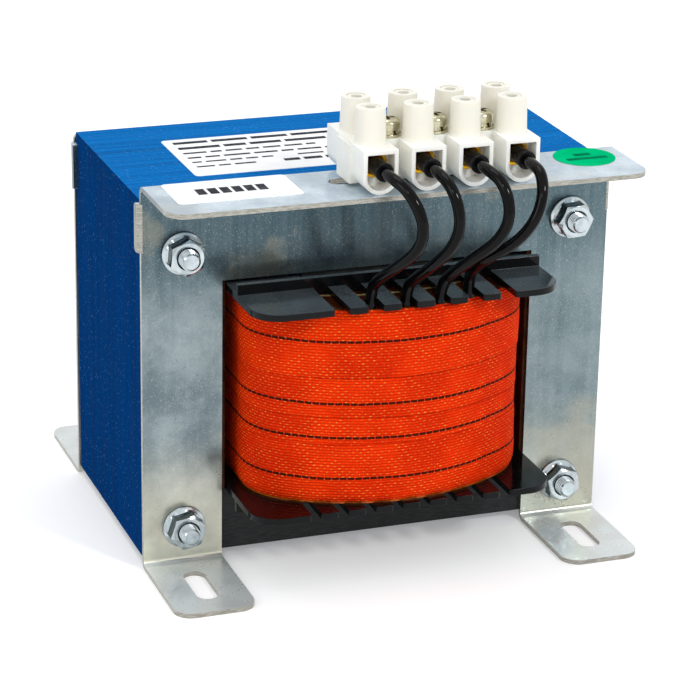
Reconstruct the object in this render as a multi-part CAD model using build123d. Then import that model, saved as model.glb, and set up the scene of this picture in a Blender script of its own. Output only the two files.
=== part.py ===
from build123d import *
import os
from math import radians, tan

# A single-phase, open-frame control transformer. A laminated iron core with three legs carries a
# moulded coil former, whose winding bulges out of the core's window in front and behind. Two folded
# sheet frames clamp the core with four through bolts and end in slotted feet. The front frame folds
# forward at its top and carries a four-pole terminal block, wired to the winding by four leads.
# Millimetres. X is across the core, +Y points to the back and Z is up. The origin is on the floor,
# under the middle of the core.

# Laminated core
CORE_WIDTH = 149.0
OUTER_LEG = 24.5
CENTRE_LEG = 49.0
LOWER_YOKE = 19.7
WINDOW_HEIGHT = 68.3
UPPER_YOKE = 26.5
FRONT_PACKET = 35.0
MIDDLE_PACKET = 15.0
REAR_PACKET = 26.0
CORE_LIFT = 3.0
CORE_BOLT_HOLE = 8.0
BOLT_FROM_WINDOW = 9.85

# Folded frames
SHEET = 1.5
BEND_RADIUS = 1.5
FRAME_OVERHANG = 0.5
FLANGE_RISE = 5.1
FLANGE_REACH = 30.0
FLANGE_CORNER = 6.0
REAR_FRAME_DROP = 0.5
REAR_FRAME_CORNER = 2.5
FOOT_REACH = 37.5
FOOT_CORNER = 5.5
FOOT_SLOT_WIDTH = 6.8
FOOT_SLOT_LENGTH = 20.0
FOOT_SLOT_OUT = 19.0
FRAME_BOLT_HOLE = 6.6
TAB_HEIGHT = 15.0
TAB_DROP = 0.7
REAR_TAB_DROP = 3.4
TAB_REACH = 4.0
TAB_BEND = 0.5
TAB_CORNER = 1.5

# Core bolts, their insulating sleeves, nuts and washers
BOLT_DIAMETER = 6.0
BOLT_END_CHAMFER = 0.8
BOLT_HEAD_HEIGHT = 4.0
BOLT_PROTRUSION = 3.4
HEX_ACROSS_FLATS = 10.0
NUT_HEIGHT = 6.0
NUT_FLANGE_DIAMETER = 14.2
NUT_FLANGE_RIM = 1.0
NUT_FLANGE_CONE = 1.5
NUT_TURNS = (12.0, 41.0, 25.0, 3.0)
WASHER_DIAMETER = 12.5
WASHER_THICKNESS = 1.6
SLEEVE_CLEARANCE = 0.1

# Coil former
LEG_CLEARANCE = 0.4
TUBE_WALL = 1.6
FORMER_TOP_GAP = 1.7
FORMER_FLANGE = 2.1
FORMER_SIDE_GAP = 1.6
FORMER_OVERHANG = 31.4
LOBE_CORNER = 9.0
RIM_SETBACK = 20.0
RIM_THICKNESS = 2.0
RIM_HEIGHT = 3.3
TOP_FINGERS = 5
TOP_FINGER_WIDTH = 5.9
TOP_SLOT_WIDTH = 4.6
TOP_COMB_OFFSET = 3.85
BOTTOM_FINGERS = 7
BOTTOM_FINGER_WIDTH = 5.5
BOTTOM_SLOT_WIDTH = 3.2
BOTTOM_COMB_OFFSET = 1.0
FINGER_CORNER = 0.9

# Winding, as layers round the former's tube. The shares say how much of the build shows in the
# crown, at the shoulders and in the corner radius, and how the copper is split.
WINDING_SIDE_GAP = 5.3
WINDING_TOP_GAP = 0.3
INSULATION_BUILD = 0.6
TAPE_BUILD = 1.0
LAYER_GAP = 0.1
PRIMARY_SHARE = 0.49
CROWN_SHARE = 1.57
SHOULDER_SHARE = 0.53
CORNER_SHARE = 1.05
TUBE_CORNER = 2.0

# Boards between the winding and the outer legs
BOARD_THICKNESS = 1.0
BOARD_GAP = 0.1
BOARD_PROUD = 1.0
BOARD_TOP_GAP = 0.3

# Terminal block
POLE_COUNT = 4
POLE_PITCH = 14.8
POLE_WIDTH = 10.7
POLE_HEIGHT = 13.2
POLE_WALL = 1.2
BLOCK_DEPTH = 32.0
BLOCK_CENTRE_X = 11.3
BLOCK_SETBACK = 2.0
MOUTH_DEPTH = 6.0
TOWER_PITCH = 13.0
TOWER_HEIGHT = 10.8
TOWER_BASE = 9.4
TOWER_TOP = 8.7
TOWER_BORE = 5.6
WEB_LENGTH = 11.0
STUB_OUT = 0.6
STUB_DROP = 0.8

# Brass inserts and their clamping screws
INSERT_DIAMETER = 8.0
INSERT_BORE = 6.4
INSERT_STOP = 1.6
INSERT_BELOW_POLE_TOP = 5.6
INSERT_CLEARANCE = 0.05
CLAMP_SCREW_DIAMETER = 4.0
CLAMP_SCREW_LENGTH = 7.4
CLAMP_SLOT_WIDTH = 0.8
CLAMP_SLOT_DEPTH = 1.2
THREAD_CLEARANCE = 0.05

# Fixings of the terminal block on the flange
FIXING_DIAMETER = 4.0
FIXING_HOLE = 4.5
FIXING_CLEARANCE = 0.1
FIXING_LENGTH = 21.0
PAN_HEAD_DIAMETER = 8.0
PAN_HEAD_HEIGHT = 3.1
PAN_HEAD_ROUND = 1.7
RECESS_WIDTH = 1.1
RECESS_LENGTH = 5.0
RECESS_DEPTH = 1.4
FLAT_WASHER_DIAMETER = 9.0
FLAT_WASHER_THICKNESS = 0.8
SPRING_WASHER_DIAMETER = 7.6
SPRING_WASHER_THICKNESS = 1.3
SPRING_WASHER_SLIT = 0.8
FIXING_NUT_FLATS = 7.0
FIXING_NUT_HEIGHT = 3.2
SPARE_SLOT_X = -15.2
SPARE_SLOT_WIDTH = 5.5
SPARE_SLOT_LENGTH = 12.0

# Lead ends in the terminal block
FERRULE_DIAMETER = 3.0
FERRULE_LENGTH = 8.0
BOOT_DIAMETER = 6.0
BOOT_OUT = 2.0
COLLAR_DIAMETER = 6.5
COLLAR_LENGTH = 1.5

# Leads: each runs from its boot, out and down, into its slot of the former and to the winding
LEAD_DIAMETER = 3.5
LEAD_EXIT = 5.2
LEAD_ENTRY = 5.8
LEAD_ROUTES = {
    "lead_1": [(-8.2, -80.6, 128.2), (-5.4, -84.0, 122.9), (-3.8, -85.1, 116.6), (-4.8, -83.2, 110.0),
               (-8.4, -77.4, 103.8), (-11.2, -70.0, 98.2)],
    "lead_2": [(5.4, -81.2, 127.9), (6.9, -84.1, 122.4), (7.2, -85.1, 115.9), (5.3, -83.2, 109.3),
               (2.4, -77.4, 103.1), (0.3, -70.6, 97.6)],
    "lead_3": [(21.0, -81.2, 128.3), (22.5, -84.2, 122.9), (22.3, -85.2, 116.8), (19.6, -83.6, 110.6),
               (15.5, -78.5, 105.0), (12.0, -72.2, 99.2)],
    "lead_4": [(33.9, -80.4, 129.0), (33.2, -84.0, 124.0), (31.1, -85.3, 117.8), (27.8, -83.6, 111.7),
               (23.8, -80.0, 106.8), (19.8, -75.0, 102.6), (18.4, -69.0, 97.8)],
}
LEAD_ENDS = {"lead_1": (-11.9, -63.8), "lead_2": (-1.1, -65.0), "lead_3": (9.6, -65.4), "lead_4": (19.6, -63.0)}
RADIUS_SHARE = 0.45

# Labels
LABEL_THICKNESS = 0.15
CORE_LABEL_SIZE = (70.0, 39.0)
CORE_LABEL_CENTRE = (-17.0, 0.3)
FLANGE_LABEL_SIZE = (38.0, 20.0)
FLANGE_LABEL_FROM_EDGE = (24.5, 19.0)
LABEL_CORNER = 1.5
STICKER_DIAMETER = 19.0
STICKER_FROM_EDGE = (13.0, 20.8)

# How far a cut runs past the face that it opens
CUT_MARGIN = 1.0

# Levels and planes that the sizes above give
stack_depth = FRONT_PACKET + MIDDLE_PACKET + REAR_PACKET
core_half = CORE_WIDTH / 2
core_front = -stack_depth / 2
core_back = stack_depth / 2
core_bottom = CORE_LIFT
yoke_top = core_bottom + LOWER_YOKE
window_top = yoke_top + WINDOW_HEIGHT
core_top = window_top + UPPER_YOKE
window_half = core_half - OUTER_LEG
leg_half = CENTRE_LEG / 2

bolt_x = window_half + OUTER_LEG / 2
bolt_low = yoke_top - BOLT_FROM_WINDOW
bolt_high = window_top + BOLT_FROM_WINDOW
bolt_places = [(x, z) for z in (bolt_low, bolt_high) for x in (-bolt_x, bolt_x)]

frame_half = core_half + FRAME_OVERHANG
plate_front = core_front - SHEET
plate_back = core_back + SHEET
flange_top = core_top + FLANGE_RISE
flange_front = plate_front - FLANGE_REACH
rear_frame_top = core_top - REAR_FRAME_DROP
foot_front = plate_front - FOOT_REACH

tube_half_x = leg_half + LEG_CLEARANCE + TUBE_WALL
tube_half_y = core_back + LEG_CLEARANCE + TUBE_WALL
former_half_x = window_half - FORMER_SIDE_GAP
former_half_y = core_back + FORMER_OVERHANG
former_top = window_top - FORMER_TOP_GAP
winding_build = window_half - WINDING_SIDE_GAP - tube_half_x
copper_build = winding_build - INSULATION_BUILD - TAPE_BUILD - 3 * LAYER_GAP
primary_build = PRIMARY_SHARE * copper_build
insulation_start = primary_build + LAYER_GAP
secondary_start = insulation_start + INSULATION_BUILD + LAYER_GAP
tape_start = winding_build - TAPE_BUILD
winding_bottom = yoke_top + FORMER_FLANGE
winding_top = former_top - FORMER_FLANGE - WINDING_TOP_GAP

block_front = flange_front + BLOCK_SETBACK
block_back = block_front + BLOCK_DEPTH
block_middle = (block_front + block_back) / 2
pole_top = flange_top + POLE_HEIGHT
pole_places = [BLOCK_CENTRE_X + (i - (POLE_COUNT - 1) / 2) * POLE_PITCH for i in range(POLE_COUNT)]
web_places = [x + POLE_PITCH / 2 for x in pole_places[:-1]]
tower_places = [block_middle - TOWER_PITCH / 2, block_middle + TOWER_PITCH / 2]
insert_z = pole_top - INSERT_BELOW_POLE_TOP
insert_front = block_front + MOUTH_DEPTH
insert_back = block_back - MOUTH_DEPTH
head_seat = pole_top + FLAT_WASHER_THICKNESS + SPRING_WASHER_THICKNESS
boot_front = block_front - BOOT_OUT - COLLAR_LENGTH


def slab(x0, x1, y0, y1, z0, z1):
    """A block between two corners."""
    return Pos((x0 + x1) / 2, (y0 + y1) / 2, (z0 + z1) / 2) * Box(x1 - x0, y1 - y0, z1 - z0)


def upright(x, y, z0, z1, diameter):
    """A cylinder along Z."""
    return Pos(x, y, (z0 + z1) / 2) * Cylinder(diameter / 2, z1 - z0)


def rod(x, z, y0, y1, diameter):
    """A cylinder along Y."""
    return Pos(x, (y0 + y1) / 2, z) * Rot(90, 0, 0) * Cylinder(diameter / 2, y1 - y0)


def upright_hole(x, y, z0, z1, diameter):
    """What a hole along Z takes out, past both of its faces."""
    return upright(x, y, z0 - CUT_MARGIN, z1 + CUT_MARGIN, diameter)


def rod_hole(x, z, y0, y1, diameter):
    """What a hole along Y takes out, past both of its faces."""
    return rod(x, z, y0 - CUT_MARGIN, y1 + CUT_MARGIN, diameter)


def upright_slot(x, y, z0, z1, width, length, turn):
    """A round-ended slot along Z, its length turned from X by an angle."""
    plan = Pos(x, y, z0) * Rot(0, 0, turn) * SlotOverall(length, width)
    return extrude(plan, z1 - z0)


def group(solids):
    """Separate solids of one kind, kept together."""
    return Compound(list(solids))


def stacked(profile):
    """One solid for each packet of laminations, from front to back."""
    solids = []
    front = core_front
    for depth in (FRONT_PACKET, MIDDLE_PACKET, REAR_PACKET):
        solids.append(Pos(0, front + depth, 0) * extrude(profile, depth))
        front += depth
    return group(solids)


def front_rectangle(x0, x1, z0, z1):
    """A rectangle in the XZ plane."""
    return Plane.XZ * Pos((x0 + x1) / 2, (z0 + z1) / 2) * Rectangle(x1 - x0, z1 - z0)


def front_circle(x, z, diameter):
    """A circle in the XZ plane."""
    return Plane.XZ * Pos(x, z) * Circle(diameter / 2)


def core_e_laminations():
    """Lower yoke and three legs."""
    profile = front_rectangle(-core_half, core_half, core_bottom, window_top)
    for side in (-1, 1):
        inner, outer = sorted((side * leg_half, side * window_half))
        profile -= front_rectangle(inner, outer, yoke_top, window_top)
        profile -= front_circle(side * bolt_x, bolt_low, CORE_BOLT_HOLE)
    return stacked(profile)


def core_i_laminations():
    """Upper yoke, which closes the three legs."""
    profile = front_rectangle(-core_half, core_half, window_top, core_top)
    for side in (-1, 1):
        profile -= front_circle(side * bolt_x, bolt_high, CORE_BOLT_HOLE)
    return stacked(profile)


def folded_section(top_corner):
    """Side view of the front frame: foot, plate and, where asked, the flange above it."""
    outline = [(foot_front, 0), (core_front, 0)]
    if top_corner:
        outline += [(core_front, flange_top), (flange_front, flange_top),
                    (flange_front, flange_top - SHEET), (plate_front, flange_top - SHEET)]
    else:
        outline += [(core_front, rear_frame_top), (plate_front, rear_frame_top)]
    outline += [(plate_front, SHEET), (foot_front, SHEET)]
    face = make_face(Polyline(outline, close=True))
    levels = [0, flange_top] if top_corner else [0]
    outside = [v for v in face.vertices() if abs(v.X - core_front) < 0.01 and v.Y in levels]
    face = fillet(outside, BEND_RADIUS + SHEET)
    levels = [SHEET, flange_top - SHEET] if top_corner else [SHEET]
    inside = [v for v in face.vertices() if abs(v.X - plate_front) < 0.01
              and min(abs(v.Y - level) for level in levels) < 0.01]
    return Plane.YZ * fillet(inside, BEND_RADIUS)


def side_tab(side, low):
    """Tab that folds round the core's side and keeps the frame central."""
    end = plate_front + TAB_REACH
    inner = core_half
    outer = core_half + SHEET
    root = core_half - OUTER_LEG / 2
    outline = [(root, plate_front), (outer, plate_front), (outer, end), (inner, end),
               (inner, core_front), (root, core_front)]
    face = make_face(Polyline(outline, close=True))
    face = fillet([v for v in face.vertices() if v.X == outer and v.Y == plate_front], TAB_BEND + SHEET)
    tab = extrude(Pos(0, 0, low) * face, TAB_HEIGHT)
    free_edges = [e for e in tab.edges().filter_by(Axis.X) if e.center().Y > end - 0.01]
    tab = fillet(free_edges, TAB_CORNER)
    return tab if side > 0 else mirror(tab, Plane.YZ)


def frame_blank(with_flange, tab_drop):
    """Folded sheet with its window, feet, corners, foot slots, bolt holes and side tabs."""
    low = core_top - tab_drop - TAB_HEIGHT
    frame = extrude(folded_section(with_flange), frame_half, both=True)
    front, back = foot_front - CUT_MARGIN, core_front + CUT_MARGIN
    frame -= slab(-window_half, window_half, front, back, -CUT_MARGIN, window_top)
    tips = [e for e in frame.edges().filter_by(Axis.Z) if abs(e.center().Y - foot_front) < 0.01]
    frame = fillet(tips, FOOT_CORNER)
    slot_y = plate_front - FOOT_SLOT_OUT
    for side in (-1, 1):
        x = side * (window_half + frame_half) / 2
        low_cut, high_cut = -CUT_MARGIN, SHEET + CUT_MARGIN
        frame -= upright_slot(x, slot_y, low_cut, high_cut, FOOT_SLOT_WIDTH, FOOT_SLOT_LENGTH, 90)
        edge = frame_half - TAB_BEND - FRAME_OVERHANG
        near, far = sorted((side * edge, side * (frame_half + CUT_MARGIN)))
        frame -= slab(near, far, front, back, low, low + TAB_HEIGHT)
        frame += side_tab(side, low)
    for x, z in bolt_places:
        frame -= rod_hole(x, z, plate_front, core_front, FRAME_BOLT_HOLE)
    return frame


def front_frame():
    """Frame with feet in front and the flange that carries the terminal block."""
    frame = frame_blank(True, TAB_DROP)
    tips = [e for e in frame.edges().filter_by(Axis.Z) if abs(e.center().Y - flange_front) < 0.01]
    frame = fillet(tips, FLANGE_CORNER)
    low, high = flange_top - SHEET - CUT_MARGIN, flange_top + CUT_MARGIN
    for x in web_places:
        frame -= upright_hole(x, block_middle, flange_top - SHEET, flange_top, FIXING_HOLE)
    frame -= upright_slot(SPARE_SLOT_X, block_middle, low, high, SPARE_SLOT_WIDTH, SPARE_SLOT_LENGTH, 0)
    return frame


def rear_frame():
    """Frame without a flange, turned to the back of the core."""
    frame = frame_blank(False, REAR_TAB_DROP)
    tips = [e for e in frame.edges().filter_by(Axis.Y)
            if abs(e.center().Z - rear_frame_top) < 0.01 and abs(e.center().X) > core_half]
    frame = fillet(tips, REAR_FRAME_CORNER)
    return mirror(frame, Plane.XZ)


def comb_slots(fingers, finger_width, slot_width, offset):
    """Middles of the slots between and beside the fingers."""
    pitch = finger_width + slot_width
    return [offset + (i - fingers / 2) * pitch for i in range(fingers + 1)]


def former_flange(slots, slot_width, z0):
    """End plate of the former, with round lobes and combs in front and behind."""
    plan = RectangleRounded(2 * former_half_x, 2 * former_half_y, LOBE_CORNER)
    slot_middle = former_half_y - RIM_SETBACK / 2
    for x in slots:
        for side in (-1, 1):
            plan -= Pos(x, side * slot_middle) * Rectangle(slot_width, RIM_SETBACK)
    tips = [v for v in plan.vertices() if abs(abs(v.Y) - former_half_y) < 0.01
            and abs(v.X) < former_half_x - LOBE_CORNER - 0.01]
    return extrude(Pos(0, 0, z0) * fillet(tips, FINGER_CORNER), FORMER_FLANGE)


def former_rims(z0):
    """Upright walls across the former, behind the combs."""
    outer = former_half_y - RIM_SETBACK
    walls = [slab(-former_half_x, former_half_x, outer - RIM_THICKNESS, outer, z0, z0 + RIM_HEIGHT)]
    return walls + [mirror(walls[0], Plane.XZ)]


def bobbin():
    """Moulded former: a tube on the centre leg between two combed flanges."""
    tube = slab(-tube_half_x, tube_half_x, -tube_half_y, tube_half_y, yoke_top, former_top)
    tube = fillet(tube.edges().filter_by(Axis.Z), TUBE_CORNER)
    top_slots = comb_slots(TOP_FINGERS, TOP_FINGER_WIDTH, TOP_SLOT_WIDTH, TOP_COMB_OFFSET)
    bottom_slots = comb_slots(BOTTOM_FINGERS, BOTTOM_FINGER_WIDTH, BOTTOM_SLOT_WIDTH, BOTTOM_COMB_OFFSET)
    former = tube + former_flange(bottom_slots, BOTTOM_SLOT_WIDTH, yoke_top)
    former += former_flange(top_slots, TOP_SLOT_WIDTH, former_top - FORMER_FLANGE)
    for wall in former_rims(former_top) + former_rims(yoke_top - RIM_HEIGHT):
        former += wall
    bore_x = leg_half + LEG_CLEARANCE
    bore_y = core_back + LEG_CLEARANCE
    return former - slab(-bore_x, bore_x, -bore_y, bore_y, yoke_top - CUT_MARGIN, former_top + CUT_MARGIN)


def layer_plan(build):
    """Plan of the winding at a given build: flat beside the legs and crowned in front and behind."""
    half = tube_half_x + build
    shoulder = tube_half_y + SHOULDER_SHARE * build
    crown = tube_half_y + CROWN_SHARE * build
    front = ThreePointArc((-half, -shoulder), (0, -crown), (half, -shoulder))
    right = Line((half, -shoulder), (half, shoulder))
    back = ThreePointArc((half, shoulder), (0, crown), (-half, shoulder))
    left = Line((-half, shoulder), (-half, -shoulder))
    face = make_face([front, right, back, left])
    return fillet(face.vertices(), TUBE_CORNER + CORNER_SHARE * build)


def layer(inner_build, outer_build):
    """One layer of the winding between two builds."""
    height = winding_top - winding_bottom
    outer = extrude(Pos(0, 0, winding_bottom) * layer_plan(outer_build), height)
    if inner_build > 0:
        opening = layer_plan(inner_build)
    else:
        opening = RectangleRounded(2 * tube_half_x, 2 * tube_half_y, TUBE_CORNER)
    low = winding_bottom - CUT_MARGIN
    return outer - extrude(Pos(0, 0, low) * opening, height + 2 * CUT_MARGIN)


def window_board(side):
    """Insulating board that stands between the winding and an outer leg."""
    near, far = sorted((side * (window_half - BOARD_GAP),
                        side * (window_half - BOARD_GAP - BOARD_THICKNESS)))
    reach = plate_back + BOARD_PROUD
    return slab(near, far, -reach, reach, yoke_top, window_top - BOARD_TOP_GAP)


def hexagon(across_flats, height):
    """A hexagonal prism along +Z with its top corners turned off."""
    corner = across_flats / 2 / 0.866
    prism = extrude(RegularPolygon(across_flats / 2, 6, major_radius=False), height)
    turned = Pos(0, 0, height / 2) * Cylinder(corner, height)
    rim = turned.edges().filter_by(GeomType.CIRCLE).sort_by(Axis.Z)[-1]
    return prism & chamfer(rim, (corner - across_flats / 2) * 1.2)


def facing_front(solid, x, y, z):
    """Turn a solid from +Z to the front, -Y, and place it."""
    return Pos(x, y, z) * Rot(90, 0, 0) * solid


def facing_back(solid, x, y, z):
    """Turn a solid from +Z to the back, +Y, and place it."""
    return Pos(x, y, z) * Rot(-90, 0, 0) * solid


def core_bolt(x, z):
    """Through bolt with its hexagonal head behind the core."""
    seat = plate_back + WASHER_THICKNESS
    end = plate_front - NUT_HEIGHT - BOLT_PROTRUSION
    shank = rod(x, z, end, seat, BOLT_DIAMETER)
    tip = shank.edges().filter_by(GeomType.CIRCLE).sort_by(Axis.Y)[0]
    shank = chamfer(tip, BOLT_END_CHAMFER)
    return shank + facing_back(hexagon(HEX_ACROSS_FLATS, BOLT_HEAD_HEIGHT), x, seat, z)


def bolt_sleeve(x, z):
    """Insulating tube between a bolt and the laminations."""
    tube = rod(x, z, core_front, core_back, CORE_BOLT_HOLE - 2 * SLEEVE_CLEARANCE)
    return tube - rod_hole(x, z, core_front, core_back, BOLT_DIAMETER + 2 * SLEEVE_CLEARANCE)


def flange_nut(x, z, turn):
    """Hexagonal nut with its own broad flange, in front of the core."""
    body = Rot(0, 0, turn) * hexagon(HEX_ACROSS_FLATS, NUT_HEIGHT)
    radius = NUT_FLANGE_DIAMETER / 2
    body += Pos(0, 0, NUT_FLANGE_RIM / 2) * Cylinder(radius, NUT_FLANGE_RIM)
    cone = Cone(radius, HEX_ACROSS_FLATS / 2, NUT_FLANGE_CONE)
    body += Pos(0, 0, NUT_FLANGE_RIM + NUT_FLANGE_CONE / 2) * cone
    body -= Cylinder(BOLT_DIAMETER / 2 + THREAD_CLEARANCE, 3 * NUT_HEIGHT)
    return facing_front(body, x, plate_front, z)


def rear_washer(x, z):
    """Flat washer under a bolt head."""
    disc = rod(x, z, plate_back, plate_back + WASHER_THICKNESS, WASHER_DIAMETER)
    return disc - rod_hole(x, z, plate_back, plate_back + WASHER_THICKNESS, FRAME_BOLT_HOLE)


def arched(x, width, z0, z1):
    """A front view with a flat top, straight sides and a half-round bottom."""
    straight = front_rectangle(x - width / 2, x + width / 2, z0 + width / 2, z1)
    return straight + front_circle(x, z0 + width / 2, width)


def tower(x, y):
    """Tapered chimney over a clamping screw."""
    cone = Cone(TOWER_BASE / 2, TOWER_TOP / 2, TOWER_HEIGHT)
    return Pos(x, y, pole_top + TOWER_HEIGHT / 2) * cone


def terminal_body():
    """Moulded housing: four poles joined by webs, each with two mouths and two towers."""
    body = slab(pole_places[0] - POLE_WIDTH / 2 - STUB_OUT, pole_places[-1] + POLE_WIDTH / 2 + STUB_OUT,
                block_middle - WEB_LENGTH / 2, block_middle + WEB_LENGTH / 2,
                flange_top + STUB_DROP, pole_top - STUB_DROP)
    for x in web_places:
        half = (POLE_PITCH - POLE_WIDTH) / 2 + POLE_WALL
        body += slab(x - half, x + half, block_middle - WEB_LENGTH / 2, block_middle + WEB_LENGTH / 2,
                     flange_top, pole_top)
    for x in pole_places:
        body += Pos(0, block_back, 0) * extrude(arched(x, POLE_WIDTH, flange_top, pole_top), BLOCK_DEPTH)
        for y in tower_places:
            body += tower(x, y)
    mouth_floor = flange_top + POLE_WALL
    for x in pole_places:
        mouth = arched(x, POLE_WIDTH - 2 * POLE_WALL, mouth_floor, pole_top - POLE_WALL)
        body -= Pos(0, insert_front, 0) * extrude(mouth, MOUTH_DEPTH + CUT_MARGIN)
        body -= Pos(0, block_back + CUT_MARGIN, 0) * extrude(mouth, MOUTH_DEPTH + CUT_MARGIN)
        body -= rod_hole(x, insert_z, insert_front, insert_back, INSERT_DIAMETER + 2 * INSERT_CLEARANCE)
        for y in tower_places:
            body -= upright(x, y, insert_z, pole_top + TOWER_HEIGHT + CUT_MARGIN, TOWER_BORE)
    for x in web_places:
        body -= upright_hole(x, block_middle, flange_top, pole_top, FIXING_DIAMETER + 2 * FIXING_CLEARANCE)
    return body


def terminal_insert(x):
    """Brass barrel of one pole, drilled from both ends up to a stop."""
    barrel = rod(x, insert_z, insert_front, insert_back, INSERT_DIAMETER)
    barrel -= rod(x, insert_z, insert_front - CUT_MARGIN, block_middle - INSERT_STOP / 2, INSERT_BORE)
    barrel -= rod(x, insert_z, block_middle + INSERT_STOP / 2, insert_back + CUT_MARGIN, INSERT_BORE)
    for y in tower_places:
        barrel -= upright(x, y, insert_z, pole_top, CLAMP_SCREW_DIAMETER + 2 * THREAD_CLEARANCE)
    return barrel


def clamp_screw(x, y, low):
    """Slotted clamping screw of one wire."""
    screw = upright(x, y, low, low + CLAMP_SCREW_LENGTH, CLAMP_SCREW_DIAMETER)
    top = low + CLAMP_SCREW_LENGTH
    half = CLAMP_SCREW_DIAMETER
    return screw - slab(x - half, x + half, y - CLAMP_SLOT_WIDTH / 2, y + CLAMP_SLOT_WIDTH / 2,
                        top - CLAMP_SLOT_DEPTH, top + CUT_MARGIN)


def terminal_screws():
    """Front screws press on the ferrules and rear screws stand open."""
    on_ferrule = insert_z + FERRULE_DIAMETER / 2
    standing_open = insert_z + INSERT_BORE / 2
    screws = []
    for x in pole_places:
        screws.append(clamp_screw(x, tower_places[0], on_ferrule))
        screws.append(clamp_screw(x, tower_places[1], standing_open))
    return group(screws)


def block_screw(x):
    """Pan-head screw through a web, with a combined cross and slot."""
    head = Pos(0, 0, PAN_HEAD_HEIGHT / 2) * Cylinder(PAN_HEAD_DIAMETER / 2, PAN_HEAD_HEIGHT)
    rim = head.edges().filter_by(GeomType.CIRCLE).sort_by(Axis.Z)[-1]
    head = fillet(rim, PAN_HEAD_ROUND)
    for turn in (0, 90):
        groove = Box(RECESS_LENGTH, RECESS_WIDTH, 2 * RECESS_DEPTH)
        head -= Pos(0, 0, PAN_HEAD_HEIGHT) * Rot(0, 0, turn + x) * groove
    shank = upright(x, block_middle, head_seat - FIXING_LENGTH, head_seat, FIXING_DIAMETER)
    return shank + Pos(x, block_middle, head_seat) * head


def spring_washer(x):
    """Split ring under a screw head."""
    low = pole_top + FLAT_WASHER_THICKNESS
    ring = upright(x, block_middle, low, head_seat, SPRING_WASHER_DIAMETER)
    ring -= upright_hole(x, block_middle, low, head_seat, FIXING_DIAMETER + 2 * FIXING_CLEARANCE)
    slit = Box(SPRING_WASHER_DIAMETER, SPRING_WASHER_SLIT, 3 * SPRING_WASHER_THICKNESS)
    slit = Pos(SPRING_WASHER_DIAMETER / 2, 0, 0) * Rot(20, 0, 0) * slit
    return ring - Pos(x, block_middle, (low + head_seat) / 2) * Rot(0, 0, -70) * slit


def flat_washer(x):
    """Flat washer between the spring washer and the housing."""
    top = pole_top + FLAT_WASHER_THICKNESS
    disc = upright(x, block_middle, pole_top, top, FLAT_WASHER_DIAMETER)
    return disc - upright_hole(x, block_middle, pole_top, top, FIXING_DIAMETER + 2 * FIXING_CLEARANCE)


def block_nut(x):
    """Nut of a block screw, under the flange."""
    nut = hexagon(FIXING_NUT_FLATS, FIXING_NUT_HEIGHT)
    nut -= Cylinder(FIXING_DIAMETER / 2 + THREAD_CLEARANCE, 3 * FIXING_NUT_HEIGHT)
    return Pos(x, block_middle, flange_top - SHEET) * Rot(180, 0, 0) * nut


def ferrule(x):
    """Crimped tube on a lead's bare end, inside the brass barrel."""
    return rod(x, insert_z, insert_front, insert_front + FERRULE_LENGTH, FERRULE_DIAMETER)


def boot(x):
    """Insulating boot between a ferrule and its lead, with a collar at its mouth."""
    sleeve = rod(x, insert_z, boot_front, insert_front, BOOT_DIAMETER)
    collar = rod(x, insert_z, boot_front, boot_front + COLLAR_LENGTH, COLLAR_DIAMETER)
    rims = collar.edges().filter_by(GeomType.CIRCLE)
    return sleeve + fillet(rims, COLLAR_LENGTH / 3)


def lead_radii(points):
    """Arc radius at each corner of a route, from its shorter run and its turn."""
    radii = []
    for before, corner, after in zip(points, points[1:], points[2:]):
        run_in = Vector(corner) - Vector(before)
        run_out = Vector(after) - Vector(corner)
        half_turn = radians(run_in.get_angle(run_out)) / 2
        radii.append(RADIUS_SHARE * min(run_in.length, run_out.length) / tan(half_turn))
    return radii


def lead(name, x):
    """Insulated lead from its boot to the top of the winding."""
    points = [(x, boot_front, insert_z), (x, boot_front - LEAD_EXIT, insert_z)]
    points += LEAD_ROUTES[name]
    points += [(*LEAD_ENDS[name], winding_top + LEAD_ENTRY), (*LEAD_ENDS[name], winding_top)]
    radii = lead_radii(points)
    path = FilletPolyline(*points, radius=radii)
    section = Plane(origin=path @ 0, z_dir=path % 0) * Circle(LEAD_DIAMETER / 2)
    tube = sweep(section, path=path)
    expected = section.area * path.length
    print(name, "length", round(path.length, 1), "radii", [round(r, 1) for r in radii],
          "volume over section times length", round(tube.volume / expected, 4))
    return tube


def label(width, depth, x, y, z):
    """Thin label with rounded corners, lying on a face."""
    return extrude(Pos(x, y, z) * RectangleRounded(width, depth, LABEL_CORNER), LABEL_THICKNESS)


def flange_label():
    """Label at the left end of the flange."""
    x = FLANGE_LABEL_FROM_EDGE[0] - frame_half
    y = flange_front + FLANGE_LABEL_FROM_EDGE[1]
    return label(*FLANGE_LABEL_SIZE, x, y, flange_top)


def inspection_sticker():
    """Round sticker at the right end of the flange."""
    x = frame_half - STICKER_FROM_EDGE[0]
    y = flange_front + STICKER_FROM_EDGE[1]
    return upright(x, y, flange_top, flange_top + LABEL_THICKNESS, STICKER_DIAMETER)


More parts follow.
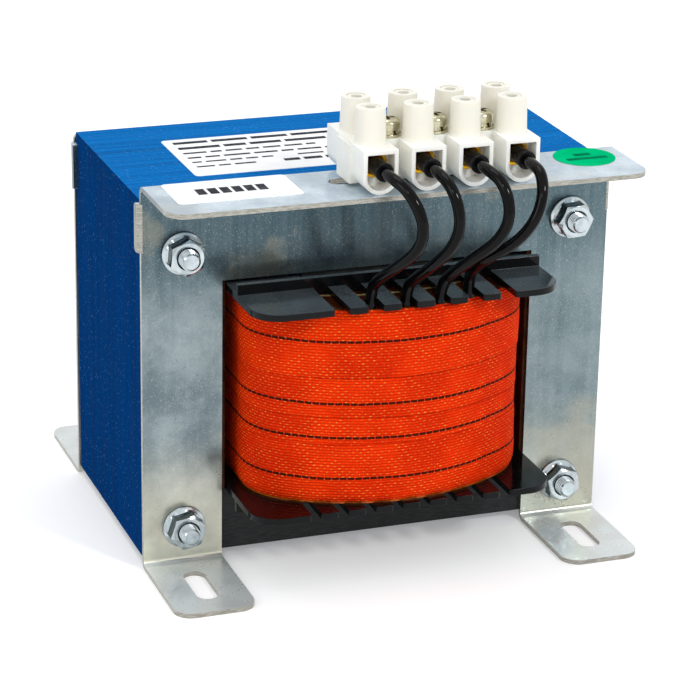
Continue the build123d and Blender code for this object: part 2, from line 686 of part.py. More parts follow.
def all_parts():
    """Every piece of the transformer by name."""
    parts = {
        "core_e_laminations": core_e_laminations(),
        "core_i_laminations": core_i_laminations(),
        "bobbin": bobbin(),
        "primary_winding": layer(0, primary_build),
        "winding_insulation": layer(insulation_start, insulation_start + INSULATION_BUILD),
        "secondary_winding": layer(secondary_start, tape_start - LAYER_GAP),
        "outer_tape": layer(tape_start, winding_build),
        "window_board_left": window_board(-1),
        "window_board_right": window_board(1),
        "front_frame": front_frame(),
        "rear_frame": rear_frame(),
        "core_bolts": group(core_bolt(x, z) for x, z in bolt_places),
        "bolt_sleeves": group(bolt_sleeve(x, z) for x, z in bolt_places),
        "flange_nuts": group(flange_nut(x, z, turn) for (x, z), turn in zip(bolt_places, NUT_TURNS)),
        "rear_washers": group(rear_washer(x, z) for x, z in bolt_places),
        "terminal_body": terminal_body(),
        "terminal_inserts": group(terminal_insert(x) for x in pole_places),
        "terminal_screws": terminal_screws(),
        "block_screws": group(block_screw(x) for x in web_places),
        "block_spring_washers": group(spring_washer(x) for x in web_places),
        "block_flat_washers": group(flat_washer(x) for x in web_places),
        "block_nuts": group(block_nut(x) for x in web_places),
        "lead_ferrules": group(ferrule(x) for x in pole_places),
        "lead_boots": group(boot(x) for x in pole_places),
        "core_label": label(*CORE_LABEL_SIZE, *CORE_LABEL_CENTRE, core_top),
        "flange_label": flange_label(),
        "inspection_sticker": inspection_sticker(),
    }
    for name, x in zip(LEAD_ROUTES, pole_places):
        parts[name] = lead(name, x)
    return parts


os.makedirs("parts", exist_ok=True)
for name, shape in all_parts().items():
    export_step(shape, f"parts/{name}.step")
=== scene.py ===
# %% [markdown]
# # An open-frame control transformer
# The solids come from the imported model, in metres, with the origin on the floor under the middle
# of the core. X runs across the core, +Y to the back and Z up. This notebook dresses them: each
# piece keeps the place and size of its solid and gets the surface of the real thing.

# %% Load the solids
import math
import random

import bmesh
import bpy
from mathutils import Matrix, Vector


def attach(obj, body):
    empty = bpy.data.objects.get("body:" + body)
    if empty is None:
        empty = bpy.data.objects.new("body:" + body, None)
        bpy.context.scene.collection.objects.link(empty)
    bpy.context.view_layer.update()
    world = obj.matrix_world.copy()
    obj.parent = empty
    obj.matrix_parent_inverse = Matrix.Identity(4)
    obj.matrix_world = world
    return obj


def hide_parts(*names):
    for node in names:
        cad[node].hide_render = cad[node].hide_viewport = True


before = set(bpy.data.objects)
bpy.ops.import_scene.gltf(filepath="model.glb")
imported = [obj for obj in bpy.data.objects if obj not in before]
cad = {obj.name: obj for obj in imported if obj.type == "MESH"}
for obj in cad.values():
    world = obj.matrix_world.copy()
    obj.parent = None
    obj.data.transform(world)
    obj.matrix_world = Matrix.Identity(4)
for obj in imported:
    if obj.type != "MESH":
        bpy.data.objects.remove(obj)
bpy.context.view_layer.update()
MM = 0.001

# %% [markdown]
# ## Camera
# The photograph is taken from the front left, a little above the terminal block. The camera's
# place was solved from the straight edges of the frames, so it only needs writing down.

# %% Camera
CAMERA_TARGET = Vector((0.17, -9.50, 54.41)) * MM
CAMERA_DISTANCE = 888.8 * MM
CAMERA_AZIMUTH = math.radians(-20.05)
CAMERA_ELEVATION = math.radians(20.39)
CAMERA_ROLL = math.radians(1.08)
CAMERA_LENS = 146.09

back = Vector((math.sin(CAMERA_AZIMUTH) * math.cos(CAMERA_ELEVATION),
               -math.cos(CAMERA_AZIMUTH) * math.cos(CAMERA_ELEVATION),
               math.sin(CAMERA_ELEVATION)))
right = Vector((0, 0, 1)).cross(back).normalized()
up = back.cross(right)
rolled_right = right * math.cos(CAMERA_ROLL) + up * math.sin(CAMERA_ROLL)
rolled_up = up * math.cos(CAMERA_ROLL) - right * math.sin(CAMERA_ROLL)
camera = bpy.data.objects.new("camera", bpy.data.cameras.new("camera"))
camera.data.lens = CAMERA_LENS
camera.data.sensor_width = 36
turn = Matrix((rolled_right, rolled_up, back)).transposed().to_4x4()
camera.matrix_world = Matrix.Translation(CAMERA_TARGET + back * CAMERA_DISTANCE) @ turn
bpy.context.scene.collection.objects.link(camera)
bpy.context.scene.camera = camera
print("camera at", [round(v, 3) for v in camera.location])

# %% [markdown]
# ## Small helpers
# A material is a tree of nodes. These helpers add a node, set its inputs and wire it up in one
# line, so that each finish below reads as a short recipe.


# %% Node helpers
def add(tree, kind, inputs=None, **settings):
    """Add a node. An input's value is a number or colour, or another node's socket to wire in."""
    new = tree.nodes.new(kind)
    for name, value in settings.items():
        setattr(new, name, value)
    for key, value in (inputs or {}).items():
        socket = new.inputs[key]
        if isinstance(value, bpy.types.NodeSocket):
            tree.links.new(value, socket)
        else:
            socket.default_value = value
    return new


def math_node(tree, operation, a, b=0.0):
    """A Math node's result."""
    return add(tree, "ShaderNodeMath", {0: a, 1: b}, operation=operation).outputs[0]


def times(tree, a, b):
    """The product of two values."""
    return math_node(tree, "MULTIPLY", a, b)


def plus(tree, a, b):
    """The sum of two values."""
    return math_node(tree, "ADD", a, b)


def minus(tree, a, b):
    """The first value less the second."""
    return math_node(tree, "SUBTRACT", a, b)


def square(tree, value):
    """A value times itself."""
    return math_node(tree, "POWER", value, 2.0)


def noise(tree, place, scale, detail, roughness=0.5):
    """A Noise texture's value."""
    values = {"Vector": place, "Scale": scale, "Detail": detail, "Roughness": roughness}
    return add(tree, "ShaderNodeTexNoise", values).outputs[0]


def smooth_step(tree, value, low, high):
    """0 below low, 1 above high, and smooth between."""
    node = add(tree, "ShaderNodeMapRange", {0: value, 1: low, 2: high}, interpolation_type="SMOOTHSTEP")
    return node.outputs[0]


def between(tree, factor, low, high):
    """A value that goes from low to high as the factor goes from 0 to 1."""
    return add(tree, "ShaderNodeMapRange", {0: factor, 3: low, 4: high}).outputs[0]


def mix_colour(tree, factor, a, b):
    """The first colour where the factor is 0, the second where it is 1."""
    return add(tree, "ShaderNodeMix", {0: factor, 6: a, 7: b}, data_type="RGBA").outputs[2]


def laid_over(tree, mask, share, colour, top):
    """A colour with another laid over it where a mask is 1, at a share of its full strength."""
    return mix_colour(tree, times(tree, mask, share), colour, top)


def bump(tree, height, distance, strength=1.0):
    """A Bump node's normal. Distance is in metres."""
    node = add(tree, "ShaderNodeBump", {"Height": height, "Distance": distance, "Strength": strength})
    return node.outputs[0]


print("helpers for shader nodes are ready")

# %% [markdown]
# Where a point is and which way its face looks decide much of a finish, and of the light and shade painted
# into it: a flange that lies flat is painted brighter than a wall. Both are read as three sockets, one for
# each axis.


# %% Places, directions and kinds of ray
def place_parts(tree):
    """The x, y and z of a point of the piece, in metres."""
    place = add(tree, "ShaderNodeTexCoord").outputs["Object"]
    return add(tree, "ShaderNodeSeparateXYZ", {0: place}).outputs


def normal_parts(tree):
    """The x, y and z of the way that the surface looks."""
    normal = add(tree, "ShaderNodeNewGeometry").outputs["Normal"]
    return add(tree, "ShaderNodeSeparateXYZ", {0: normal}).outputs


def seen_rays(tree):
    """1 for a ray that shows the surround to the eye, straight, mirrored or through glass, else 0."""
    paths = add(tree, "ShaderNodeLightPath").outputs
    turned = math_node(tree, "MAXIMUM", paths["Is Glossy Ray"], paths["Is Transmission Ray"])
    return math_node(tree, "MAXIMUM", paths["Is Camera Ray"], turned)


print("helpers for places, directions and rays are ready")

# %% [markdown]
# A node group is made once and placed in many materials. A material starts from the Principled
# shader. Values that stay the same all over go on its sockets, and the others are wired in.


# %% Groups, materials and colours
def new_group(name, inputs, outputs):
    """An empty shader group with named sockets, its input node and its output node."""
    group = bpy.data.node_groups.new(name, "ShaderNodeTree")
    for socket, kind, value in inputs:
        group.interface.new_socket(socket, in_out="INPUT", socket_type=kind).default_value = value
    for socket in outputs:
        group.interface.new_socket(socket, in_out="OUTPUT", socket_type="NodeSocketFloat")
    return group, group.nodes.new("NodeGroupInput").outputs, group.nodes.new("NodeGroupOutput").inputs


def use_group(tree, group, **values):
    """Place a group in a tree and give its outputs. Underscores stand for spaces in its inputs' names."""
    inputs = {key.replace("_", " "): value for key, value in values.items()}
    return add(tree, "ShaderNodeGroup", inputs, node_tree=group).outputs


def new_material(name, **values):
    """A material with a Principled shader, whose constant values are set on its sockets."""
    material = bpy.data.materials.new(name)
    material.use_nodes = True
    tree = material.node_tree
    shader = tree.nodes["Principled BSDF"]
    for key, value in values.items():
        shader.inputs[key.replace("_", " ")].default_value = value
    return material, tree, shader


def wire(tree, shader, **sources):
    """Wire sockets into a shader. Underscores stand for spaces in its inputs' names."""
    for key, source in sources.items():
        tree.links.new(source, shader.inputs[key.replace("_", " ")])


def rgb(red, green, blue):
    """A colour read off a screen, 0 to 255, as Blender's linear colour."""
    parts = [v / 255 for v in (red, green, blue)]
    return (*(v / 12.92 if v <= 0.04045 else ((v + 0.055) / 1.055) ** 2.4 for v in parts), 1.0)


print("mid grey is", [round(v, 3) for v in rgb(128, 128, 128)])

# %% [markdown]
# ## Shared surface effects
# Real surfaces are never even. Three effects serve several finishes, so each is a node group:
# cloudy mottling with small specks, fine brushed lines along one direction, and a weave. The
# mottling is two noises, a broad one for the clouds and a fine one cut off high for the specks.


# %% Mottling group
def build_mottle():
    """Cloudy patches and small specks, in the object's own coordinates."""
    group, given, made = new_group(
        "mottle",
        [("Cloud Size", "NodeSocketFloat", 40.0), ("Speck Size", "NodeSocketFloat", 900.0),
         ("Speck Share", "NodeSocketFloat", 0.1)],
        ("Cloud", "Specks", "Height"))
    place = add(group, "ShaderNodeTexCoord").outputs["Object"]
    cloud = noise(group, place, given["Cloud Size"], 5.0, 0.62)
    speck = noise(group, place, given["Speck Size"], 2.0)
    specks = math_node(group, "GREATER_THAN", speck, minus(group, 0.74, given["Speck Share"]))
    group.links.new(smooth_step(group, cloud, 0.34, 0.66), made["Cloud"])
    group.links.new(specks, made["Specks"])
    group.links.new(plus(group, times(group, cloud, 0.4), times(group, speck, 0.6)), made["Height"])
    return group


mottle = build_mottle()
print("group:", mottle.name)

# %% [markdown]
# Rolling and brushing draw a surface out in lines. A noise whose space is squeezed across the
# lines and stretched along them gives such lines. On the core they also draw the sheets' edges.


# %% Brushed lines group
def build_brushed():
    """Fine lines that run along one axis. Stretch makes the grain fine across and long along it."""
    group, given, made = new_group(
        "brushed",
        [("Stretch", "NodeSocketVector", (1.0, 1.0, 1.0)), ("Turn", "NodeSocketVector", (0.0, 0.0, 0.0))],
        ("Line",))
    place = add(group, "ShaderNodeTexCoord").outputs["Object"]
    mapped = add(group, "ShaderNodeMapping", {"Vector": place, "Rotation": given["Turn"],
                                              "Scale": given["Stretch"]})
    grain = noise(group, mapped.outputs[0], 1.0, 3.0, 0.6)
    group.links.new(smooth_step(group, grain, 0.3, 0.7), made["Line"])
    return group


brushed = build_brushed()
print("group:", brushed.name)

# %% [markdown]
# The tape is a plain weave. Rows of ribs run along it, and each row's knots sit half a step from
# those of the next row. It reads the tape's own UV map, which is in millimetres, so the weave
# follows the tape round the coil. A slow noise shifts the threads, so that no row is straight.


# %% Weave group
def build_weave():
    """A woven band, in the piece's UV map: ribs along the band and knots where threads cross, the mask for
    the tape's painted highlight.
    """
    group, given, made = new_group(
        "weave", [("Along", "NodeSocketFloat", 2.1), ("Across", "NodeSocketFloat", 0.9)], ("Knots", "Height"))
    uv = add(group, "ShaderNodeUVMap", uv_map="band").outputs[0]
    parts = add(group, "ShaderNodeSeparateXYZ", {0: uv}).outputs
    shift = times(group, minus(group, noise(group, uv, 0.25, 2.0), 0.5), 1.4)
    rows = math_node(group, "DIVIDE", plus(group, parts[1], times(group, shift, 0.5)), given["Across"])
    half = times(group, math_node(group, "MODULO", math_node(group, "FLOOR", rows), 2.0), 0.5)
    steps = plus(group, math_node(group, "DIVIDE", plus(group, parts[0], shift), given["Along"]), half)
    u = minus(group, math_node(group, "FRACT", steps), 0.5)
    v = minus(group, math_node(group, "FRACT", rows), 0.5)
    rib = minus(group, 1.0, square(group, math_node(group, "ABSOLUTE", times(group, v, 2.0))))
    reach = plus(group, square(group, times(group, u, 3.4)), square(group, times(group, v, 3.0)))
    knots = minus(group, 1.0, smooth_step(group, reach, 0.12, 0.6))
    group.links.new(knots, made["Knots"])
    group.links.new(plus(group, times(group, rib, 0.6), times(group, knots, 0.4)), made["Height"])
    return group


weave = build_weave()
print("group:", weave.name)

# %% [markdown]
# ## Finishes
# One material for each finish of the real object. Colours are written as they look in even light, apart from
# the painted light and shade named below. The two frames are zinc-plated sheet with cloudy blue-grey walls.
# Painted shade darkens the walls under the flange and towards the right, and painted light brightens them
# near the floor and makes the flat feet and flange brighter. Masks made from height and direction blend
# these, so there is no seam where the sheet folds.

# %% Galvanised sheet
SHADE_UNDER_FLANGE = (0.070, 0.110)
LIT_NEAR_FLOOR = (0.006, 0.046)
SHADE_ON_RIGHT = (-0.02, 0.05)


def build_galvanised():
    """Zinc-plated sheet: cloudy blue-grey walls with specks, painted shade up high under the flange and on
    the right, and painted light near the floor and on the flat flanges.
    """
    material, tree, shader = new_material("galvanised_sheet")
    marks = use_group(tree, mottle, Cloud_Size=48.0, Speck_Size=2600.0, Speck_Share=0.10)
    stains = use_group(tree, mottle, Cloud_Size=20.0, Speck_Size=1500.0, Speck_Share=0.03)
    streaks = use_group(tree, brushed, Stretch=(420.0, 30.0, 18.0))
    place = place_parts(tree)
    low = minus(tree, 1.0, smooth_step(tree, place[2], *LIT_NEAR_FLOOR))
    lying = smooth_step(tree, math_node(tree, "ABSOLUTE", normal_parts(tree)[2]), 0.5, 0.9)
    wall = mix_colour(tree, marks["Cloud"], rgb(95, 112, 118), rgb(143, 157, 160))
    # Painted shade: the walls turn a darker blue-teal up high, under the flange.
    wall = laid_over(tree, smooth_step(tree, place[2], *SHADE_UNDER_FLANGE), 0.9, wall, rgb(48, 75, 86))
    # Painted light: the walls are lightened in pale patches near the floor.
    wall = laid_over(tree, low, between(tree, marks["Cloud"], 0.72, 1.0), wall, rgb(224, 221, 200))
    # Painted shade: the walls are darkened towards the right.
    wall = laid_over(tree, smooth_step(tree, place[0], *SHADE_ON_RIGHT), 0.42, wall, rgb(92, 114, 120))
    # Painted light: the flat feet and flange get a brighter colour than the walls.
    lit_shelf = mix_colour(tree, marks["Cloud"], rgb(158, 176, 190), rgb(206, 220, 230))
    # Painted light: the feet are lightened near the floor.
    lit_shelf = laid_over(tree, low, 0.6, lit_shelf, rgb(240, 242, 236))
    colour = mix_colour(tree, lying, wall, lit_shelf)
    colour = laid_over(tree, smooth_step(tree, stains["Cloud"], 0.75, 1.0), 0.22, colour, rgb(190, 178, 146))
    colour = laid_over(tree, streaks["Line"], 0.07, colour, rgb(196, 206, 208))
    colour = laid_over(tree, marks["Specks"], 0.3, colour, rgb(206, 208, 196))
    colour = laid_over(tree, stains["Specks"], 0.55, colour, rgb(78, 74, 64))
    wire(tree, shader, Base_Color=colour, Metallic=between(tree, lying, 0.7, 0.4),
         Roughness=between(tree, marks["Cloud"], 0.16, 0.3), Normal=bump(tree, marks["Height"], 0.00005, 0.5))
    return material


def build_cut_edge():
    """The cut edge of the sheet: bare steel, with fine lines along the way that the punch went."""
    material, tree, shader = new_material("cut_edge", Metallic=0.8, Roughness=0.26)
    lines = use_group(tree, brushed, Stretch=(500.0, 500.0, 2500.0))["Line"]
    wire(tree, shader, Base_Color=mix_colour(tree, lines, rgb(140, 138, 128), rgb(176, 174, 166)),
         Normal=bump(tree, lines, 0.00001, 0.3))
    return material


galvanised = build_galvanised()
cut_edge = build_cut_edge()
print("finishes:", galvanised.name, cut_edge.name)

# %% [markdown]
# The core is a block of thin steel sheets, dipped in blue varnish, so its sides and top are blue and its
# front and back show bare dark steel with fine slanting lines. The top is given a lighter blue than the
# sides, as painted light on the top and painted shade on the sides. Lines squeezed across the stack vary the
# varnish sheet by sheet.


# %% Blue core
def build_core_finish():
    """Stacked steel sheets: blue varnish outside, lighter on top as painted light, bare metal on the front
    and back faces.
    """
    material, tree, shader = new_material("core_varnish", Specular_IOR_Level=0.0)
    sheets = use_group(tree, brushed, Stretch=(25.0, 2600.0, 25.0))["Line"]
    broad = use_group(tree, brushed, Stretch=(8.0, 420.0, 8.0))["Line"]
    marks = use_group(tree, mottle, Cloud_Size=30.0, Speck_Size=1300.0, Speck_Share=0.05)
    slant = (0.0, math.radians(35), 0.0)
    slanted = use_group(tree, brushed, Stretch=(250.0, 1.0, 3500.0), Turn=slant)["Line"]
    normal = normal_parts(tree)
    lines = plus(tree, times(tree, sheets, 0.6), times(tree, broad, 0.4))
    # Painted light and shade: a lighter blue for the top and a darker blue for the sides.
    top = mix_colour(tree, lines, rgb(12, 100, 176), rgb(26, 122, 198))
    side = mix_colour(tree, lines, rgb(1, 50, 105), rgb(3, 62, 124))
    paint = mix_colour(tree, smooth_step(tree, normal[2], 0.3, 0.7), side, top)
    paint = laid_over(tree, marks["Specks"], 0.5, paint, rgb(120, 165, 205))
    bare = mix_colour(tree, slanted, rgb(46, 47, 48), rgb(64, 65, 65))
    facing_front = smooth_step(tree, math_node(tree, "ABSOLUTE", normal[1]), 0.6, 0.8)
    height = mix_colour(tree, facing_front, lines, slanted)
    wire(tree, shader, Base_Color=mix_colour(tree, facing_front, paint, bare),
         Metallic=times(tree, facing_front, 0.5), Roughness=between(tree, lines, 0.5, 0.62),
         Normal=bump(tree, height, 0.00006, 0.6))
    return material


core_finish = build_core_finish()
print("finish:", core_finish.name)

# %% [markdown]
# The coil former is a glossy black moulding, with a painted grey reflection where its upper flange lies flat.
# The terminal block is a white thermoplastic. A little light enters it and comes out again,
# which is what Subsurface does, so its inner corners glow softly instead of going grey. The
# leads and their boots share a recipe and differ in gloss.

# %% Moulded plastics
UPPER_FLANGE_SHEEN = (0.07, 0.08)
TOWER_FOOT = (0.1355, 0.1375)


def build_former_black():
    """Glossy black moulding with slight haze, and a painted grey reflection where the upper flange lies flat.
    """
    material, tree, shader = new_material("former_black")
    marks = use_group(tree, mottle, Cloud_Size=60.0, Speck_Size=1600.0, Speck_Share=0.0)
    clean = mix_colour(tree, marks["Cloud"], rgb(6, 7, 8), rgb(14, 16, 18))
    # Painted reflection: the flat top of the upper flange gets a grey that stands for the bright surround
    # mirrored in it.
    sheen = mix_colour(tree, marks["Cloud"], rgb(64, 71, 75), rgb(78, 86, 90))
    upper = times(tree, smooth_step(tree, normal_parts(tree)[2], 0.5, 0.95),
                  smooth_step(tree, place_parts(tree)[2], *UPPER_FLANGE_SHEEN))
    wire(tree, shader, Base_Color=mix_colour(tree, upper, clean, sheen),
         Specular_IOR_Level=between(tree, upper, 0.15, 0.7),
         Roughness=between(tree, marks["Cloud"], 0.08, 0.15),
         Normal=bump(tree, marks["Height"], 0.00001, 0.1))
    return material


def build_terminal_white():
    """Soft white thermoplastic, faintly creamy, that lets a little light through, with a darker, warmer white
    on the towers as painted shade.
    """
    material, tree, shader = new_material(
        "terminal_white", Roughness=0.4, Specular_IOR_Level=0.3, Subsurface_Weight=0.3,
        Subsurface_Scale=0.0015, Subsurface_Radius=(1.0, 0.85, 0.7))
    marks = use_group(tree, mottle, Cloud_Size=45.0, Speck_Size=500.0, Speck_Share=0.0)
    colour = mix_colour(tree, marks["Cloud"], rgb(243, 241, 232), rgb(250, 249, 243))
    # Painted shade: the towers are given a darker, warmer white than the rest of the block.
    tower_shade = smooth_step(tree, place_parts(tree)[2], *TOWER_FOOT)
    wire(tree, shader, Base_Color=mix_colour(tree, tower_shade, colour, rgb(238, 234, 222)),
         Normal=bump(tree, marks["Height"], 0.00005, 0.25))
    return material


def build_black_lead(name, roughness):
    """Black insulation: an even gloss with faint handling marks."""
    material, tree, shader = new_material(name, Specular_IOR_Level=0.13)
    marks = use_group(tree, mottle, Cloud_Size=120.0, Speck_Size=1500.0, Speck_Share=0.0)
    wire(tree, shader, Base_Color=mix_colour(tree, marks["Cloud"], rgb(3, 3, 4), rgb(7, 7, 8)),
         Roughness=between(tree, marks["Cloud"], roughness, roughness + 0.06))
    return material


former_black = build_former_black()
terminal_white = build_terminal_white()
black_lead = build_black_lead("black_lead", 0.07)
black_sleeve = build_black_lead("black_sleeve", 0.25)
print("finishes:", former_black.name, terminal_white.name, black_lead.name, black_sleeve.name)

# %% [markdown]
# The small metal pieces are bright zinc, yellow zinc, brass and copper. They differ in colour and polish
# only, so one function makes them all. A nut's flanks mirror the dark floor side of a room more than its face
# does, so zinc gets a darker colour there as a painted reflection.


# %% Metals of the small pieces
def build_metal(name, dark, light, low, high, scale, flank_reflection=None):
    """A plated or turned metal with fine lines. Its flanks, round an axis along Y, may get a darker colour as
    a painted reflection.
    """
    material, tree, shader = new_material(name, Metallic=0.95)
    lines = use_group(tree, brushed, Stretch=(scale, scale, scale))["Line"]
    colour = mix_colour(tree, lines, dark, light)
    # Painted reflection: faces that look across Y get a darker colour.
    if flank_reflection:
        front = smooth_step(tree, math_node(tree, "ABSOLUTE", normal_parts(tree)[1]), 0.15, 0.8)
        colour = mix_colour(tree, front, flank_reflection, colour)
    wire(tree, shader, Base_Color=colour, Roughness=between(tree, lines, low, high))
    return material


zinc_steel = build_metal("zinc_steel", rgb(168, 179, 183), rgb(198, 207, 210), 0.14, 0.2, 300.0,
                         flank_reflection=rgb(78, 90, 94))
yellow_zinc = build_metal("yellow_zinc", rgb(178, 172, 138), rgb(206, 202, 180), 0.18, 0.24, 500.0)
brass = build_metal("brass", rgb(214, 152, 10), rgb(244, 190, 40), 0.28, 0.4, 900.0)
copper = build_metal("copper_wire", rgb(150, 66, 26), rgb(200, 104, 50), 0.3, 0.45, 600.0)
print("finishes:", zinc_steel.name, yellow_zinc.name, brass.name, copper.name)

# %% [markdown]
# The coil is bound with a deep orange woven tape. Painted shade darkens the valleys of its weave, and a
# painted highlight lightens its raised knots in patches. A black tracer thread runs along each band in short
# dashes, where it dives under a cross thread, and the lowest rim is frayed to a paler orange.

# %% Woven tape
TRACER_STEP = 2.3


def build_tape():
    """Orange woven tape, varnished, with a black tracer thread along each band."""
    material, tree, shader = new_material("orange_tape", Roughness=0.62, Specular_IOR_Level=0.03)
    uv = add(tree, "ShaderNodeUVMap", uv_map="band").outputs[0]
    parts = add(tree, "ShaderNodeSeparateXYZ", {0: uv}).outputs
    threads = use_group(tree, weave, Along=2.15, Across=0.9)
    patches = noise(tree, uv, 0.05, 4.0)
    fine = noise(tree, uv, 1.3, 3.0)
    sheen = noise(tree, uv, 0.16, 3.0, 0.6)
    colour = mix_colour(tree, smooth_step(tree, patches, 0.35, 0.65), rgb(214, 38, 2), rgb(242, 52, 4))
    colour = laid_over(tree, smooth_step(tree, fine, 0.45, 0.75), 0.5, colour, rgb(250, 66, 8))
    # Painted highlight: the raised knots are paler, in patches.
    knots = times(tree, threads["Knots"], smooth_step(tree, fine, 0.36, 0.62))
    knots = times(tree, knots, smooth_step(tree, sheen, 0.3, 0.58))
    colour = laid_over(tree, knots, 0.85, colour, rgb(255, 158, 66))
    # Painted shade: the valleys between the ribs are darkened.
    valley_shade = minus(tree, 1.0, smooth_step(tree, threads["Height"], 0.02, 0.4))
    colour = laid_over(tree, valley_shade, 0.55, colour, rgb(150, 14, 0))
    wander = times(tree, minus(tree, patches, 0.5), 0.9)
    off_tracer = math_node(tree, "ABSOLUTE", plus(tree, parts[1], wander))
    dash = math_node(tree, "FRACT", math_node(tree, "DIVIDE", parts[0], TRACER_STEP))
    tracer = times(tree, minus(tree, 1.0, smooth_step(tree, off_tracer, 0.36, 0.5)),
                   smooth_step(tree, dash, 0.06, 0.16))
    colour = laid_over(tree, tracer, 0.93, colour, rgb(26, 16, 12))
    fray = add(tree, "ShaderNodeAttribute", attribute_name="fray").outputs["Fac"]
    colour = laid_over(tree, fray, 0.85, colour, rgb(240, 150, 30))
    wire(tree, shader, Base_Color=colour, Normal=bump(tree, threads["Height"], 0.0003, 1.0))
    return material


orange_tape = build_tape()
print("finish:", orange_tape.name)

# %% [markdown]
# The boards, films, papers and inks are matt and nearly even. Each is one line of a table: its
# two shades, its roughness, and how large and deep its mottling is.

# %% Board, film, labels and sticker
PLAIN_FINISHES = {
    # Painted shade: the brown board's colour is darkened to the shade that it sits in, inside the window.
    "brown_board": (rgb(38, 22, 14), rgb(66, 40, 25), 0.6, 120.0, 900.0, 0.1, 0.00008),
    "insulation_film": (rgb(196, 170, 110), rgb(226, 206, 150), 0.45, 60.0, 600.0, 0.0, 0.00003),
    "label_paper": (rgb(236, 238, 240), rgb(250, 250, 250), 0.5, 30.0, 900.0, 0.0, 0.00002),
    "label_ink": (rgb(52, 52, 58), rgb(80, 80, 86), 0.6, 400.0, 2500.0, 0.0, 0.00001),
    "green_sticker": (rgb(0, 176, 112), rgb(6, 200, 130), 0.4, 40.0, 900.0, 0.0, 0.00002),
    "green_ink": (rgb(6, 110, 74), rgb(10, 128, 86), 0.5, 200.0, 1500.0, 0.0, 0.00001),
}


def build_plain(name, dark, light, roughness, cloud, speck, share, depth):
    """A matt material with mottling. Depth is its bump, in metres."""
    material, tree, shader = new_material(name, Roughness=roughness, Specular_IOR_Level=0.0)
    marks = use_group(tree, mottle, Cloud_Size=cloud, Speck_Size=speck, Speck_Share=share)
    wire(tree, shader, Base_Color=mix_colour(tree, marks["Cloud"], dark, light),
         Normal=bump(tree, marks["Height"], depth, 0.5))
    return material


plain = {name: build_plain(name, *values) for name, values in PLAIN_FINISHES.items()}
print("finishes:", *plain)

# %% [markdown]
# ## Dressing a solid
# A CAD solid's mesh is loose triangles. A copy of it is merged first: points in the same place
# become one, and triangles that lie in one plane become one face. Modifiers then work on it in a
# passing object, and what they make is kept as a plain mesh.

# %% Meshes to work on
MERGE_DISTANCE = 0.001 * MM
FLAT_ANGLE = math.radians(0.4)


def finished_mesh(worker, name):
    """The plain mesh that an object's modifiers make. The object itself is removed."""
    bpy.context.view_layer.update()
    evaluated = worker.evaluated_get(bpy.context.evaluated_depsgraph_get())
    made = bpy.data.meshes.new_from_object(evaluated)
    made.name = name
    bpy.data.objects.remove(worker)
    return made


def work_object(mesh):
    """A passing object in the scene, for a modifier to work on."""
    worker = bpy.data.objects.new("worker", mesh)
    bpy.context.scene.collection.objects.link(worker)
    return worker


def merged_copy(node):
    """A copy of a solid's mesh with its doubles merged and its flat triangles joined into faces."""
    mesh = cad[node].data.copy()
    mesh.materials.clear()
    work = bmesh.new()
    work.from_mesh(mesh)
    bmesh.ops.remove_doubles(work, verts=work.verts, dist=MERGE_DISTANCE)
    bmesh.ops.dissolve_limit(work, angle_limit=FLAT_ANGLE, verts=work.verts, edges=work.edges)
    for face in work.faces:
        face.smooth = True
    work.to_mesh(mesh)
    work.free()
    for name in [a.name for a in mesh.attributes if "normal" in a.name.lower()]:
        mesh.attributes.remove(mesh.attributes[name])
    return mesh


print("the former's solid has", len(cad["bobbin"].data.polygons), "loose triangles")

# %% [markdown]
# Perfectly sharp edges catch no light. A narrow bevel rounds them by a tenth of a millimetre or so, as
# deburring, plating or moulding does. The piece then stands for its solid: it rides on the part's only body
# and replaces its solid.

# %% Dress a solid
BEVEL_ANGLE = math.radians(28)
BEVEL_SEGMENTS = 2


def settle(piece, node):
    """Let a finished piece stand for its solid."""
    bpy.context.scene.collection.objects.link(piece)
    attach(piece, "root")
    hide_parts(node)
    print(piece.name, "triangles:", sum(len(p.vertices) - 2 for p in piece.data.polygons))


def dress(node, material, slot, width):
    """Bevel a copy of a solid, by a width in millimetres, and let it stand for the solid."""
    worker = work_object(merged_copy(node))
    bevel = worker.modifiers.new("bevel", "BEVEL")
    bevel.width = width * MM
    bevel.segments = BEVEL_SEGMENTS
    bevel.limit_method = "ANGLE"
    bevel.angle_limit = BEVEL_ANGLE
    bevel.use_clamp_overlap = True
    bevel.harden_normals = True
    worker.modifiers.new("weighted_normal", "WEIGHTED_NORMAL").keep_sharp = True
    made = finished_mesh(worker, node + "_dressed")
    made.materials.clear()
    made.materials.append(material)
    piece = bpy.data.objects.new(node + "_dressed", made)
    settle(piece, node)
    return piece


print("bevel:", BEVEL_SEGMENTS, "steps on edges over", round(math.degrees(BEVEL_ANGLE)), "degrees")

# %% [markdown]
# ## Copies in a row
# Core sheets and thread turns are one shape, repeated along a line. A Geometry Nodes group does
# this: a Mesh Line gives the places, a random shift puts each a little out of line, and Instance
# on Points sets a copy on each. Its sizes are inputs with names, so it serves both.


